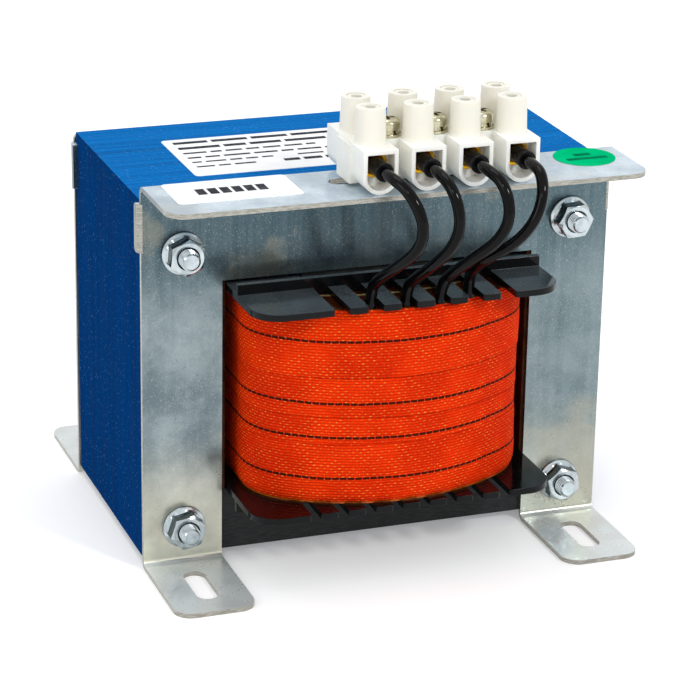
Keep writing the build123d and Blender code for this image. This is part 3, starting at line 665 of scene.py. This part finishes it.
# %% Copies in a row
def build_stack():
    """Geometry Nodes: copies of a piece along a step, each a little out of line, as one mesh."""
    group = bpy.data.node_groups.new("stack_of_copies", "GeometryNodeTree")
    for name, kind in (("Geometry", "NodeSocketGeometry"), ("Count", "NodeSocketInt"),
                       ("Step", "NodeSocketVector"), ("Jitter", "NodeSocketVector"),
                       ("Seed", "NodeSocketInt"), ("Finish", "NodeSocketMaterial")):
        group.interface.new_socket(name, in_out="INPUT", socket_type=kind)
    group.interface.new_socket("Geometry", in_out="OUTPUT", socket_type="NodeSocketGeometry")
    given = group.nodes.new("NodeGroupInput").outputs
    line = add(group, "GeometryNodeMeshLine", {"Count": given["Count"], "Offset": given["Step"]})
    least = add(group, "ShaderNodeVectorMath", {0: given["Jitter"], "Scale": -1.0}, operation="SCALE")
    shift = add(group, "FunctionNodeRandomValue", data_type="FLOAT_VECTOR")
    group.links.new(least.outputs[0], shift.inputs[0])
    group.links.new(given["Jitter"], shift.inputs[1])
    group.links.new(given["Seed"], shift.inputs["Seed"])
    moved = add(group, "GeometryNodeSetPosition", {"Geometry": line.outputs[0], "Offset": shift.outputs[0]})
    copies = add(group, "GeometryNodeInstanceOnPoints", {"Points": moved.outputs[0],
                                                         "Instance": given["Geometry"]})
    real = add(group, "GeometryNodeRealizeInstances", {"Geometry": copies.outputs[0]})
    finish = add(group, "GeometryNodeSetMaterial", {"Geometry": real.outputs[0], "Material": given["Finish"]})
    group.links.new(finish.outputs[0], group.nodes.new("NodeGroupOutput").inputs[0])
    return group


stack_of_copies = build_stack()


def stacked(mesh, name, **values):
    """The mesh that the stack makes of a mesh. Values go to the group's named inputs."""
    worker = work_object(mesh)
    modifier = worker.modifiers.new("stack", "NODES")
    modifier.node_group = stack_of_copies
    for item in stack_of_copies.interface.items_tree:
        if item.item_type == "SOCKET" and item.in_out == "INPUT" and item.name in values:
            modifier[item.identifier] = values[item.name]
    worker.update_tag()
    return finished_mesh(worker, name)


def join_meshes(meshes, name):
    """One mesh from several."""
    work = bmesh.new()
    for mesh in meshes:
        work.from_mesh(mesh)
    joined = bpy.data.meshes.new(name)
    work.to_mesh(joined)
    work.free()
    return joined


def close_rings(work, rings):
    """Faces between each ring of points and the next, and between the last and the first."""
    for a, b in zip(rings, rings[1:] + rings[:1]):
        for i in range(len(a)):
            j = (i + 1) % len(a)
            work.faces.new((a[i], a[j], b[j], b[i]))


print("geometry nodes:", stack_of_copies.name)

# %% [markdown]
# ## Folded frames
# The two frames are punched and folded from 1.5 mm sheet. Punching leaves bare steel on the cut
# edges, so those faces get a material of their own: they are the faces that don't lie on the
# sheet's two sides. Where a face is and which way it looks says which it is.

# %% Folded frames
WINDOW_TOP = 91.0 * MM
FOOT_TOP = 1.6 * MM
FLANGE_UNDERSIDE = 120.9 * MM
FOLDED_REACH = 43 * MM
WALL_REACH = 37.9 * MM
WALL_SPAN = (4 * MM, 119 * MM)


def is_cut_edge(centre, normal):
    """True on a cut edge of the sheet: round the feet and flange, beside a wall, or over the window."""
    reach = abs(centre.y)
    if centre.z < FOOT_TOP or centre.z > FLANGE_UNDERSIDE:
        if abs(normal.z) < 0.3 and reach > FOLDED_REACH:
            return True
    if abs(normal.x) > 0.3 and reach > WALL_REACH and WALL_SPAN[0] < centre.z < WALL_SPAN[1]:
        return True
    return normal.z < -0.7 and abs(centre.z - WINDOW_TOP) < 0.3 * MM


for node in ("front_frame", "rear_frame"):
    piece = dress(node, galvanised, "galvanised_sheet", 0.14)
    piece.data.materials.append(cut_edge)
    for face in piece.data.polygons:
        if is_cut_edge(face.center, face.normal):
            face.material_index = 1

# %% [markdown]
# ## Core
# The core is a stack of half-millimetre stamped sheets in three packets. The front sheet of each
# solid is cut out of a copy of its mesh, given its thickness, and repeated by the stack above,
# each copy a few hundredths out of line, so the sheets' edges catch the light as they really do.
# A slightly smaller sheet closes each joint between two packets, which reads as a dark line.

# %% Core sheets
SHEET_STEP = 0.5
SHEET_THICKNESS = 0.47
PACKETS = ((-38.0, 70), (-2.7, 29), (12.15, 51))
PACKET_SHIFT = 0.04
SHEET_JITTER = (0.035 * MM, 0.0, 0.035 * MM)
JOINT_SHEETS = (-3.1, 11.72)
JOINT_SCALE = 0.991
FRONT_TOLERANCE = 0.1


def front_sheet(node):
    """The front sheet of a core solid, moved to y = 0 and closed."""
    mesh = merged_copy(node)
    work = bmesh.new()
    work.from_mesh(mesh)
    front = min(v.co.y for v in work.verts)
    limit = front + FRONT_TOLERANCE * MM
    spare = [f for f in work.faces if f.normal.y > -0.9 or f.calc_center_median().y > limit]
    bmesh.ops.delete(work, geom=spare, context="FACES")
    made = bmesh.ops.extrude_face_region(work, geom=work.faces[:])
    moved = [v for v in made["geom"] if isinstance(v, bmesh.types.BMVert)]
    bmesh.ops.translate(work, verts=moved, vec=(0, SHEET_THICKNESS * MM, 0))
    bmesh.ops.translate(work, verts=work.verts, vec=(0, -front, 0))
    bmesh.ops.recalc_face_normals(work, faces=work.faces)
    for face in work.faces:
        face.smooth = False
    work.to_mesh(mesh)
    work.free()
    return mesh


def joint_sheet(sheet, depth):
    """A sheet at a depth, drawn in towards its middle."""
    middle = sum(v.co.z for v in sheet.vertices) / len(sheet.vertices)
    joint = sheet.copy()
    joint.transform(Matrix.Translation((0, depth * MM, middle * (1 - JOINT_SCALE)))
                    @ Matrix.Diagonal((JOINT_SCALE, 1, JOINT_SCALE, 1)))
    return joint


for seed, node in enumerate(("core_e_laminations", "core_i_laminations")):
    sheet = front_sheet(node)
    packets = []
    for number, (start, count) in enumerate(PACKETS):
        packet = stacked(sheet, "packet", Count=count, Step=(0.0, SHEET_STEP * MM, 0.0),
                         Seed=10 * seed + number, Jitter=SHEET_JITTER, Finish=core_finish)
        packet.transform(Matrix.Translation((PACKET_SHIFT * MM * (number - 1), start * MM, 0)))
        packets.append(packet)
    stack = join_meshes(packets + [joint_sheet(sheet, depth) for depth in JOINT_SHEETS], node + "_sheets")
    stack.materials.append(core_finish)
    settle(bpy.data.objects.new(node + "_sheets", stack), node)

# %% [markdown]
# ## Coil former, terminal block and small pieces
# Mouldings have rounder edges than turned or stamped metal, so each piece has a bevel width of
# its own. The table says which solid gets which finish, its slot in the model, and its bevel in
# millimetres.

# %% Dressed mouldings and fastenings
DRESSED = (
    ("bobbin", former_black, "former_black", 0.28),
    ("terminal_body", terminal_white, "terminal_white", 0.3),
    ("terminal_inserts", brass, "brass", 0.12),
    ("terminal_screws", zinc_steel, "zinc_steel", 0.12),
    ("rear_washers", zinc_steel, "zinc_steel", 0.12),
    ("block_screws", yellow_zinc, "yellow_zinc_steel", 0.1),
    ("block_spring_washers", yellow_zinc, "yellow_zinc_steel", 0.1),
    ("block_flat_washers", yellow_zinc, "yellow_zinc_steel", 0.1),
    ("block_nuts", zinc_steel, "zinc_steel", 0.1),
    ("lead_boots", black_sleeve, "black_sleeve", 0.2),
    ("lead_ferrules", zinc_steel, "zinc_steel", 0.1),
    ("window_board_left", plain["brown_board"], "brown_board", 0.12),
    ("window_board_right", plain["brown_board"], "brown_board", 0.12),
)
dressed = {node: dress(node, *values) for node, *values in DRESSED}

# %% [markdown]
# Two kinds of piece are a little slighter than their solids. The real boots are slimmer, so they
# are drawn in towards the axis of their pole. The real boards stand back from the front frame, so
# their front edges are moved in.

# %% Slimmer boots and set-back boards
POLES = (-10.9, 3.9, 18.7, 33.5)
POLE_AXIS = 130.2
BOOT_SLIMMING = 0.87
BOARD_FRONT = -38.6

for vertex in dressed["lead_boots"].data.vertices:
    pole = min(POLES, key=lambda x: abs(x * MM - vertex.co.x)) * MM
    vertex.co.x = pole + (vertex.co.x - pole) * BOOT_SLIMMING
    vertex.co.z = POLE_AXIS * MM + (vertex.co.z - POLE_AXIS * MM) * BOOT_SLIMMING
for node in ("window_board_left", "window_board_right"):
    for vertex in dressed[node].data.vertices:
        vertex.co.y = max(vertex.co.y, BOARD_FRONT * MM)
print("boots:", len(POLES), "boards from", BOARD_FRONT)

# %% [markdown]
# A driver reaches each clamping screw through a tower. The towers narrow at the mouth to less
# than the screw's head, so a loosened screw can't fall out. A ring set into each bore does this.

# %% Collars in the tower mouths
COLLAR_RADII = (1.7, 2.84)
COLLAR_DROP = 0.2
COLLAR_HEIGHT = 2.5
COLLAR_SIDES = 40
SCREW_RADIUS = 2.45


def add_collars(body):
    """Narrow the tower bores near their tops, as the moulding does."""
    screws = [v.co.y for v in cad["terminal_screws"].data.vertices]
    top = max(v.co.z for v in cad["terminal_body"].data.vertices) - COLLAR_DROP * MM
    foot = top - COLLAR_HEIGHT * MM
    inner, outer = (radius * MM for radius in COLLAR_RADII)
    angles = [2 * math.pi * i / COLLAR_SIDES for i in range(COLLAR_SIDES)]
    section = ((inner, foot), (outer, foot), (outer, top), (inner, top))
    work = bmesh.new()
    work.from_mesh(body.data)
    for x in POLES:
        for y in (min(screws) + SCREW_RADIUS * MM, max(screws) - SCREW_RADIUS * MM):
            close_rings(work, [[work.verts.new((x * MM + r * math.cos(angle), y + r * math.sin(angle), z))
                                for angle in angles] for r, z in section])
    work.to_mesh(body.data)
    work.free()


add_collars(dressed["terminal_body"])
print("collars:", 2 * len(POLES))

# %% [markdown]
# ## Nuts and bolts
# The four nuts have a broad flange of their own. Each nut is a closed band of rings: up over the
# flange, up the hexagon, over its chamfered corners, and down into the thread. The chamfer is a
# cone that cuts the hexagon, so a corner, which reaches further out, starts lower.

# %% Flange nuts
NUT_SEAT = -39.5
NUT_HEIGHT = 6.0
HALF_FLATS = 5.0
CROWN_RADIUS = 4.75
CHAMFER_ANGLE = math.radians(30)
NUT_SIDES = 96
ON_HEXAGON = 0
ON_CHAMFER = None
NUT_RINGS = (
    (6.45, 0.0), (6.65, 0.15), (6.65, 0.75), (6.5, 0.95), (5.85, 1.25),
    (ON_HEXAGON, 1.7), (ON_HEXAGON, ON_CHAMFER), (CROWN_RADIUS, NUT_HEIGHT),
    (3.6, NUT_HEIGHT), (2.95, NUT_HEIGHT - 0.7), (2.95, 0.0))
BOLT_PLACES = {(-62.25, 12.85): 12.0, (62.25, 12.85): 41.0, (-62.25, 100.85): 25.0, (62.25, 100.85): 3.0}


def nut_ring(turn, radius, height):
    """Points of one ring of a nut as (x, out, z), on a circle or on the hexagon and its chamfer."""
    ring = []
    for side in range(NUT_SIDES):
        angle = 360 * side / NUT_SIDES
        reach = radius or HALF_FLATS / math.cos(math.radians(angle % 60 - 30))
        chamfer = NUT_HEIGHT - (reach - CROWN_RADIUS) * math.tan(CHAMFER_ANGLE)
        out = chamfer if height is ON_CHAMFER else height
        place = math.radians(angle + turn)
        ring.append((reach * math.cos(place), out, reach * math.sin(place)))
    return ring


def build_nuts():
    """Flange nuts with chamfered corners and a countersunk thread, each turned its own way."""
    work = bmesh.new()
    for (x, z), turn in BOLT_PLACES.items():
        close_rings(work, [[work.verts.new(((x + px) * MM, (NUT_SEAT - out) * MM, (z + pz) * MM))
                            for px, out, pz in nut_ring(turn, radius, height)]
                           for radius, height in NUT_RINGS])
    bmesh.ops.recalc_face_normals(work, faces=work.faces)
    mesh = bpy.data.meshes.new("flange_nuts_dressed")
    work.to_mesh(mesh)
    work.free()
    mesh.materials.append(zinc_steel)
    settle(bpy.data.objects.new("flange_nuts_dressed", mesh), "flange_nuts")


build_nuts()

# %% [markdown]
# The bolts stand a few turns of thread proud of their nuts. A thread's helix can hardly be told
# from rings at this size, so the bolt is thinned to the thread's root there, and the stack above
# sets rings with a sharp crest on it, one pitch apart.

# %% Bolts with threads
BOLT_RADIUS = 3.0
THREAD_ROOT = 2.62
THREAD_PITCH = 1.0
THREAD_FRONT = -48.1
THREAD_BACK = -41.0
THREAD_TURNS = 4
RING_SIDES = 32
THREAD_SINK = THREAD_ROOT - 0.1
THREAD_PROFILE = ((THREAD_SINK, -0.3), (BOLT_RADIUS, -0.05), (BOLT_RADIUS, 0.05), (THREAD_SINK, 0.3))


def thread_ring():
    """One closed ring of thread at y = 0, with a sharp crest."""
    work = bmesh.new()
    turns = [2 * math.pi * side / RING_SIDES for side in range(RING_SIDES)]
    close_rings(work, [[work.verts.new((r * math.cos(a) * MM, y * MM, r * math.sin(a) * MM))
                        for r, y in THREAD_PROFILE] for a in turns])
    bmesh.ops.recalc_face_normals(work, faces=work.faces)
    mesh = bpy.data.meshes.new("thread_ring")
    work.to_mesh(mesh)
    work.free()
    return mesh


def thinned_bolts():
    """A copy of the bolts, thinned to the thread's root where they carry a thread."""
    body = merged_copy("core_bolts")
    for face in body.polygons:
        face.use_smooth = False
    for vertex in body.vertices:
        x, y, z = (v / MM for v in vertex.co)
        cx, cz = min(BOLT_PLACES, key=lambda c: math.dist(c, (x, z)))
        reach = math.dist((cx, cz), (x, z))
        if y < THREAD_BACK and reach > THREAD_ROOT:
            share = THREAD_ROOT / reach
            vertex.co.x, vertex.co.z = (cx + (x - cx) * share) * MM, (cz + (z - cz) * share) * MM
    return body


rings = stacked(thread_ring(), "rings", Count=THREAD_TURNS, Step=(0.0, THREAD_PITCH * MM, 0.0), Seed=1,
                Jitter=(0.0, 0.0, 0.0), Finish=zinc_steel)
threads = []
for x, z in BOLT_PLACES:
    threads.append(rings.copy())
    threads[-1].transform(Matrix.Translation((x * MM, THREAD_FRONT * MM, z * MM)))
bolts = join_meshes([thinned_bolts()] + threads, "core_bolts_dressed")
bolts.materials.clear()
bolts.materials.append(zinc_steel)
settle(bpy.data.objects.new("core_bolts_dressed", bolts), "core_bolts")

# %% [markdown]
# ## Labels
# Two labels and a round sticker lie on the part, with rows of plain bars on them. Each bar is a
# thin block that stands 0.02 mm proud, so it is a shape and not a picture. A fixed seed gives the
# same random lengths each time.

# %% Labels with plain bars
BAR_HEIGHT = 0.02
BAR_GAP = 1.3
LEAST_ROOM = 2
CORE_ROWS = ((-32, 31, 15.4, 2.4, 8, 13), (-32, 31, 9.6, 2.4, 7, 14), (-32, 12, 4.2, 1.5, 3, 8),
             (-32, 31, -0.8, 1.5, 3, 9), (-32, -6, -5.6, 1.3, 3, 7), (2, 31, -5.6, 1.3, 4, 9),
             (-32, -10, -10.4, 1.3, 3, 7), (-4, 26, -10.4, 2.4, 3, 6))
FLANGE_BARS = [(x, -2.8, x + 2.8, 2.8) for x in (-10.9, -7.2, -3.5, 0.2, 3.9, 7.6)]
STICKER_BARS = [(-2.6, 0.9, 2.8, 3.3), (-6.6, -3.0, 6.8, -0.8)]


def bars_row(rng, left, right, middle, depth, shortest, longest):
    """Plain bars of random lengths along one row, as (x0, y0, x1, y1)."""
    bars, x = [], left
    while x < right - LEAST_ROOM:
        end = min(right, x + rng.uniform(shortest, longest))
        bars.append((x, middle - depth / 2, end, middle + depth / 2))
        x = end + BAR_GAP
    return bars


def printed(node, paper, ink, bars):
    """A label's solid with plain bars on it."""
    mesh = merged_copy(node)
    low = [min(v.co[i] for v in mesh.vertices) for i in range(3)]
    high = [max(v.co[i] for v in mesh.vertices) for i in range(3)]
    cx, cy, top = (low[0] + high[0]) / 2, (low[1] + high[1]) / 2, high[2]
    work = bmesh.new()
    work.from_mesh(mesh)
    for face in work.faces:
        face.smooth = False
    for x0, y0, x1, y1 in bars:
        made = bmesh.ops.create_cube(work, size=1.0)["verts"]
        middle = Vector((cx + (x0 + x1) / 2 * MM, cy + (y0 + y1) / 2 * MM, top))
        size = Matrix.Diagonal(((x1 - x0) * MM, (y1 - y0) * MM, 2 * BAR_HEIGHT * MM, 1))
        bmesh.ops.transform(work, matrix=Matrix.Translation(middle) @ size, verts=made)
        for face in {f for v in made for f in v.link_faces}:
            face.material_index = 1
    work.to_mesh(mesh)
    work.free()
    mesh.materials.append(paper)
    mesh.materials.append(ink)
    settle(bpy.data.objects.new(node + "_printed", mesh), node)


rng = random.Random(5)
core_bars = [bar for row in CORE_ROWS for bar in bars_row(rng, *row)]
printed("core_label", plain["label_paper"], plain["label_ink"], core_bars)
printed("flange_label", plain["label_paper"], plain["label_ink"], FLANGE_BARS)
printed("inspection_sticker", plain["green_sticker"], plain["green_ink"], STICKER_BARS)

# %% [markdown]
# ## Hidden pieces
# The windings, the film between them and the sleeves round the bolts are covered. Their solids
# stay as they are and only get their material, which shows if somebody takes the part apart.

# %% Materials of the hidden pieces
HIDDEN = {"primary_winding": copper, "secondary_winding": copper,
          "winding_insulation": plain["insulation_film"], "bolt_sleeves": plain["insulation_film"]}
for node, material in HIDDEN.items():
    cad[node].data.materials.clear()
    cad[node].data.materials.append(material)
    print(node, "is", material.name)

# %% [markdown]
# ## Winding
# The outer tape is wound in overlapping bands, each with a black tracer thread. The winding is
# flat beside the core's legs and crowned in front and behind. Its plan is walked round in small
# steps: a crown, a corner, a flat side, and the same again turned half round. How far it reaches
# depends on its build, the thickness of what is wound on the tube.

# %% Plan of the winding
TUBE_HALF_X = 26.5
TUBE_HALF_Y = 40.0
WINDING_BUILD = 18.2
SHOULDER_RATE = 0.53
CROWN_RATE = 1.57
CORNER_RADIUS = 2.0
CORNER_RATE = 1.05
CORNER_STEPS = 14
CROWN_STEPS = 64
SIDE_STEPS = 24


def arc_points(centre, radius, start, stop, count):
    """Points on an arc, from one angle to another, in radians."""
    return [(centre[0] + radius * math.cos(start + (stop - start) * i / count),
             centre[1] + radius * math.sin(start + (stop - start) * i / count)) for i in range(count)]


def winding_plan(build):
    """The winding's outline at a build, in millimetres, counterclockwise from the right side."""
    half = TUBE_HALF_X + build
    shoulder = TUBE_HALF_Y + SHOULDER_RATE * build
    crown = TUBE_HALF_Y + CROWN_RATE * build
    corner = CORNER_RADIUS + CORNER_RATE * build
    rise = crown - shoulder
    radius = (half * half + rise * rise) / (2 * rise)
    middle = crown - radius
    centre_x = half - corner
    reach = radius - corner
    centre_y = middle + math.sqrt(reach * reach - centre_x * centre_x)
    lean = math.atan2(centre_y - middle, centre_x)
    half_way = (arc_points((centre_x, centre_y), corner, 0, lean, CORNER_STEPS)
                + arc_points((0, middle), radius, lean, math.pi - lean, CROWN_STEPS)
                + arc_points((-centre_x, centre_y), corner, math.pi - lean, math.pi, CORNER_STEPS)
                + [(-half, centre_y - 2 * centre_y * i / SIDE_STEPS) for i in range(SIDE_STEPS)])
    return half_way + [(-x, -y) for x, y in half_way]


print("plan points:", len(winding_plan(WINDING_BUILD)))

# %% [markdown]
# Each band repeats the plan at its own heights, so the lap of one band on the next is real. Its
# upper rim sinks under the band above, slow waves keep it from looking machined, and the outer
# rims are drawn in. The first band is the top one. Heights are in millimetres above the floor.

# %% How a band of tape lies
BANDS = [
    {"low": 65.6, "high": 86.75, "tracer": 77.2, "build": 18.15},
    {"low": 52.6, "high": 67.6, "tracer": 57.3, "build": 17.9},
    {"low": 42.6, "high": 54.4, "tracer": 46.5, "build": 17.75},
    {"low": 24.95, "high": 44.4, "tracer": 33.6, "build": 18.0},
]
TOP_BAND = 0
BOTTOM_BAND = len(BANDS) - 1
WAVES = ((0.10, 3, 1.7, 0.21), (0.07, 7, 0.0, -0.35), (0.05, 13, 2.1, 0.6))
WAVE_SINK = 0.12
DRIFT = 0.22
LEVEL_ZONE = 6.0
TOP_PINCH = (0.5, 2.0, 2)
BOTTOM_PINCH = (0.9, 3.0, 2)
LAP_SINK = (0.16, 3.0, 1)


def wave(angle, height, number):
    """A slow unevenness of a band: each wave's depth, count round the coil, and shift by band and height."""
    return sum(depth * math.sin(count * angle + by_band * number + by_height * height)
               for depth, count, by_band, by_height in WAVES)


def drift(angle, number, from_low):
    """How far a band wanders up or down. The top band and the lowest rim stay level."""
    if number == TOP_BAND:
        return 0.0
    rise = DRIFT * math.sin(2 * angle + number)
    return rise * min(1.0, from_low / LEVEL_ZONE) if number == BOTTOM_BAND else rise


def near_rim(from_rim, depth, width, power):
    """A depth at a rim that fades to nothing over a width, in a line or a curve."""
    return depth * max(0.0, 1 - from_rim / width) ** power


def rim_inset(number, from_low, from_high):
    """How far a band is drawn in near its rims."""
    if number == TOP_BAND:
        return near_rim(from_high, *TOP_PINCH)
    inset = near_rim(from_high, *LAP_SINK)
    if number == BOTTOM_BAND:
        inset += near_rim(from_low, *BOTTOM_PINCH)
    return inset


print("bands:", len(BANDS), "from", BANDS[BOTTOM_BAND]["low"], "to", BANDS[TOP_BAND]["high"])

# %% [markdown]
# A band has an outer and an inner shell, closed at both rims. Its UV map gives millimetres along
# it and, across it, millimetres from its tracer thread. An attribute marks the frayed rim.

# %% Tape bands
BAND_THICKNESS = 0.35
ROW_HEIGHT = 0.8
LEAST_ROWS = 6
FRAY_WIDTH = 0.5


def band_ring(work, fray_layer, number, height, inward):
    """One ring of a band's shell at a height."""
    band = BANDS[number]
    from_low, from_high = height - band["low"], band["high"] - height
    plan = winding_plan(band["build"] - inward - rim_inset(number, from_low, from_high))
    ring = []
    for i, (x, y) in enumerate(plan):
        angle = 2 * math.pi * i / len(plan)
        away = Vector((x, y, 0)).normalized() * (wave(angle, height, number) - WAVE_SINK)
        vertex = work.verts.new((Vector((x, y, height + drift(angle, number, from_low))) + away) * MM)
        vertex[fray_layer] = float(number == BOTTOM_BAND and from_low < FRAY_WIDTH)
        ring.append(vertex)
    return ring


def join_rings(work, uv_layer, lengths, lower, upper, flip):
    """Smooth faces between two rings, given as (ring, place across the band), with their UV map."""
    (a, low_v), (b, high_v) = lower, upper
    for i in range(len(a)):
        j = (i + 1) % len(a)
        corners = [(a[i], (lengths[i], low_v)), (a[j], (lengths[i + 1], low_v)),
                   (b[j], (lengths[i + 1], high_v)), (b[i], (lengths[i], high_v))]
        if flip:
            corners.reverse()
        face = work.faces.new([vertex for vertex, _ in corners])
        face.smooth = True
        for loop, (_, uv) in zip(face.loops, corners):
            loop[uv_layer].uv = uv


def band_mesh(number, band):
    """One closed band of tape with its UV map in millimetres and its frayed rim."""
    rows = max(LEAST_ROWS, round((band["high"] - band["low"]) / ROW_HEIGHT))
    heights = [band["low"] + (band["high"] - band["low"]) * i / rows for i in range(rows + 1)]
    plan = winding_plan(band["build"])
    lengths = [0.0]
    for a, b in zip(plan, plan[1:] + plan[:1]):
        lengths.append(lengths[-1] + math.dist(a, b))
    work = bmesh.new()
    uv_layer = work.loops.layers.uv.new("band")
    fray_layer = work.verts.layers.float.new("fray")
    outer, inner = ([(band_ring(work, fray_layer, number, height, inward), height - band["tracer"])
                     for height in heights] for inward in (0.0, BAND_THICKNESS))
    for shell, flip in ((outer, False), (inner, True)):
        for lower, upper in zip(shell, shell[1:]):
            join_rings(work, uv_layer, lengths, lower, upper, flip)
    join_rings(work, uv_layer, lengths, outer[0], inner[0], True)
    join_rings(work, uv_layer, lengths, outer[-1], inner[-1], False)
    mesh = bpy.data.meshes.new("tape_band")
    work.to_mesh(mesh)
    work.free()
    return mesh


tape_mesh = join_meshes([band_mesh(i, band) for i, band in enumerate(BANDS)], "winding_tape")
tape_mesh.materials.append(orange_tape)
settle(bpy.data.objects.new("winding_tape", tape_mesh), "outer_tape")

# %% [markdown]
# ## Leads
# Four short leads run from their boots, out and down in front of the flange, and back into the former's comb.
# Each is one smooth NURBS curve through listed control points, the same points as the solid's route, with a
# round bevel.

# %% Leads
LEAD_DIAMETER = 3.5 * MM
LEAD_START_Y = -71.0
LEAD_EXIT_Y = -76.2
LEAD_Z = POLE_AXIS
LEAD_ROUTES = {
    "lead_1": [(-10.9, LEAD_START_Y, LEAD_Z), (-10.9, LEAD_EXIT_Y, LEAD_Z),
               (-8.2, -80.6, 128.2), (-5.4, -84.0, 122.9), (-3.8, -85.1, 116.6), (-4.8, -83.2, 110.0),
               (-8.4, -77.4, 103.8), (-11.2, -70.0, 98.2), (-11.9, -63.8, 92.7), (-11.9, -63.8, 86.9)],
    "lead_2": [(3.9, LEAD_START_Y, LEAD_Z), (3.9, LEAD_EXIT_Y, LEAD_Z),
               (5.4, -81.2, 127.9), (6.9, -84.1, 122.4), (7.2, -85.1, 115.9), (5.3, -83.2, 109.3),
               (2.4, -77.4, 103.1), (0.3, -70.6, 97.6), (-1.1, -65.0, 92.7), (-1.1, -65.0, 86.9)],
    "lead_3": [(18.7, LEAD_START_Y, LEAD_Z), (18.7, LEAD_EXIT_Y, LEAD_Z),
               (21.0, -81.2, 128.3), (22.5, -84.2, 122.9), (22.3, -85.2, 116.8), (19.6, -83.6, 110.6),
               (15.5, -78.5, 105.0), (12.0, -72.2, 99.2), (9.6, -65.4, 92.7), (9.6, -65.4, 86.9)],
    "lead_4": [(33.5, LEAD_START_Y, LEAD_Z), (33.5, LEAD_EXIT_Y, LEAD_Z),
               (33.9, -80.4, 129.0), (33.2, -84.0, 124.0), (31.1, -85.3, 117.8), (27.8, -83.6, 111.7),
               (23.8, -80.0, 106.8), (19.8, -75.0, 102.6), (18.4, -69.0, 97.8), (19.6, -63.0, 92.7),
               (19.6, -63.0, 86.9)],
}


def make_lead(name, route):
    """A lead as a smooth curve with its route's points as control points."""
    curve = bpy.data.curves.new(name + "_insulation", "CURVE")
    curve.dimensions = "3D"
    curve.bevel_depth = LEAD_DIAMETER / 2
    curve.bevel_resolution = 6
    curve.resolution_u = 12
    curve.use_fill_caps = True
    spline = curve.splines.new("NURBS")
    spline.points.add(len(route) - 1)
    for point, place in zip(spline.points, route):
        point.co = (*(v * MM for v in place), 1.0)
    spline.order_u = 3
    spline.use_endpoint_u = True
    spline.use_smooth = True
    curve.materials.append(black_lead)
    lead = bpy.data.objects.new(name + "_insulation", curve)
    bpy.context.scene.collection.objects.link(lead)
    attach(lead, "root")
    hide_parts(name)


for name, route in LEAD_ROUTES.items():
    make_lead(name, route)
print("leads:", len(LEAD_ROUTES))

# %% [markdown]
# ## Floor and light
# A pale floor that fades into a white surround. The floor glows a little, but only to rays that
# show it to the eye, straight, mirrored or through glass. It adds no light to the object, and it
# still takes the object's shadow.

# %% Floor
FLOOR_SIZE = 8.0
FLOOR_GLOW = 0.26
FLOOR_GREY = (0.9, 0.9, 0.9, 1)
WHITE = (1, 1, 1, 1)
FLOOR_CORNERS = [(x * FLOOR_SIZE, y * FLOOR_SIZE, 0) for x, y in ((-1, -1), (1, -1), (1, 1), (-1, 1))]

floor_material, floor_tree, floor_shader = new_material(
    "floor", Base_Color=FLOOR_GREY, Roughness=0.9, Specular_IOR_Level=0.0, Emission_Color=WHITE)
wire(floor_tree, floor_shader, Emission_Strength=times(floor_tree, seen_rays(floor_tree), FLOOR_GLOW))
floor_mesh = bpy.data.meshes.new("floor")
floor_mesh.from_pydata(FLOOR_CORNERS, [], [(0, 1, 2, 3)])
floor_mesh.materials.append(floor_material)
floor = bpy.data.objects.new("floor", floor_mesh)
bpy.context.scene.collection.objects.link(floor)
print("floor:", 2 * FLOOR_SIZE, "m wide")

# %% [markdown]
# The world lights the object softly, like an overcast sky, and shows as white where it is seen.
# A key light from the front right gives the shadow and the sharp glints, a wide soft one hangs
# overhead, a weak one fills the left, and a small one in front gives the leads a second glint.

# %% World and lamps
SKY = (0.96, 0.98, 1.0, 1)
SKY_LEVEL = 0.74
LAMP_TARGET = Vector((0, 0, 0.06))
LAMPS = {
    "key": ((0.9, -1.6, 1.3), 0.26, 13),
    "front_left": ((-1.1, -1.7, 1.4), 0.2, 3),
    "overhead": ((-0.2, 0.3, 2.2), 1.2, 12),
    "left_fill": ((-1.8, -0.9, 0.8), 0.8, 6),
}

world = bpy.data.worlds.new("surround")
world.use_nodes = True
bpy.context.scene.world = world
tree = world.node_tree
tree.nodes.clear()
soft = add(tree, "ShaderNodeBackground", {"Color": SKY, "Strength": SKY_LEVEL})
white = add(tree, "ShaderNodeBackground", {"Color": WHITE, "Strength": 1.0})
mixed = add(tree, "ShaderNodeMixShader", {0: seen_rays(tree), 1: soft.outputs[0], 2: white.outputs[0]})
add(tree, "ShaderNodeOutputWorld", {0: mixed.outputs[0]})


def soft_light(name, place, size, watts):
    """A square area light that looks at the object."""
    lamp = bpy.data.lights.new(name, "AREA")
    lamp.shape = "SQUARE"
    lamp.size = size
    lamp.energy = watts
    holder = bpy.data.objects.new(name, lamp)
    holder.location = place
    holder.rotation_euler = (Vector(place) - LAMP_TARGET).to_track_quat("Z", "Y").to_euler()
    bpy.context.scene.collection.objects.link(holder)


for name, values in LAMPS.items():
    soft_light(name, *values)
bpy.context.scene.view_settings.view_transform = "Standard"
print("lamps:", *LAMPS)

# %% [markdown]
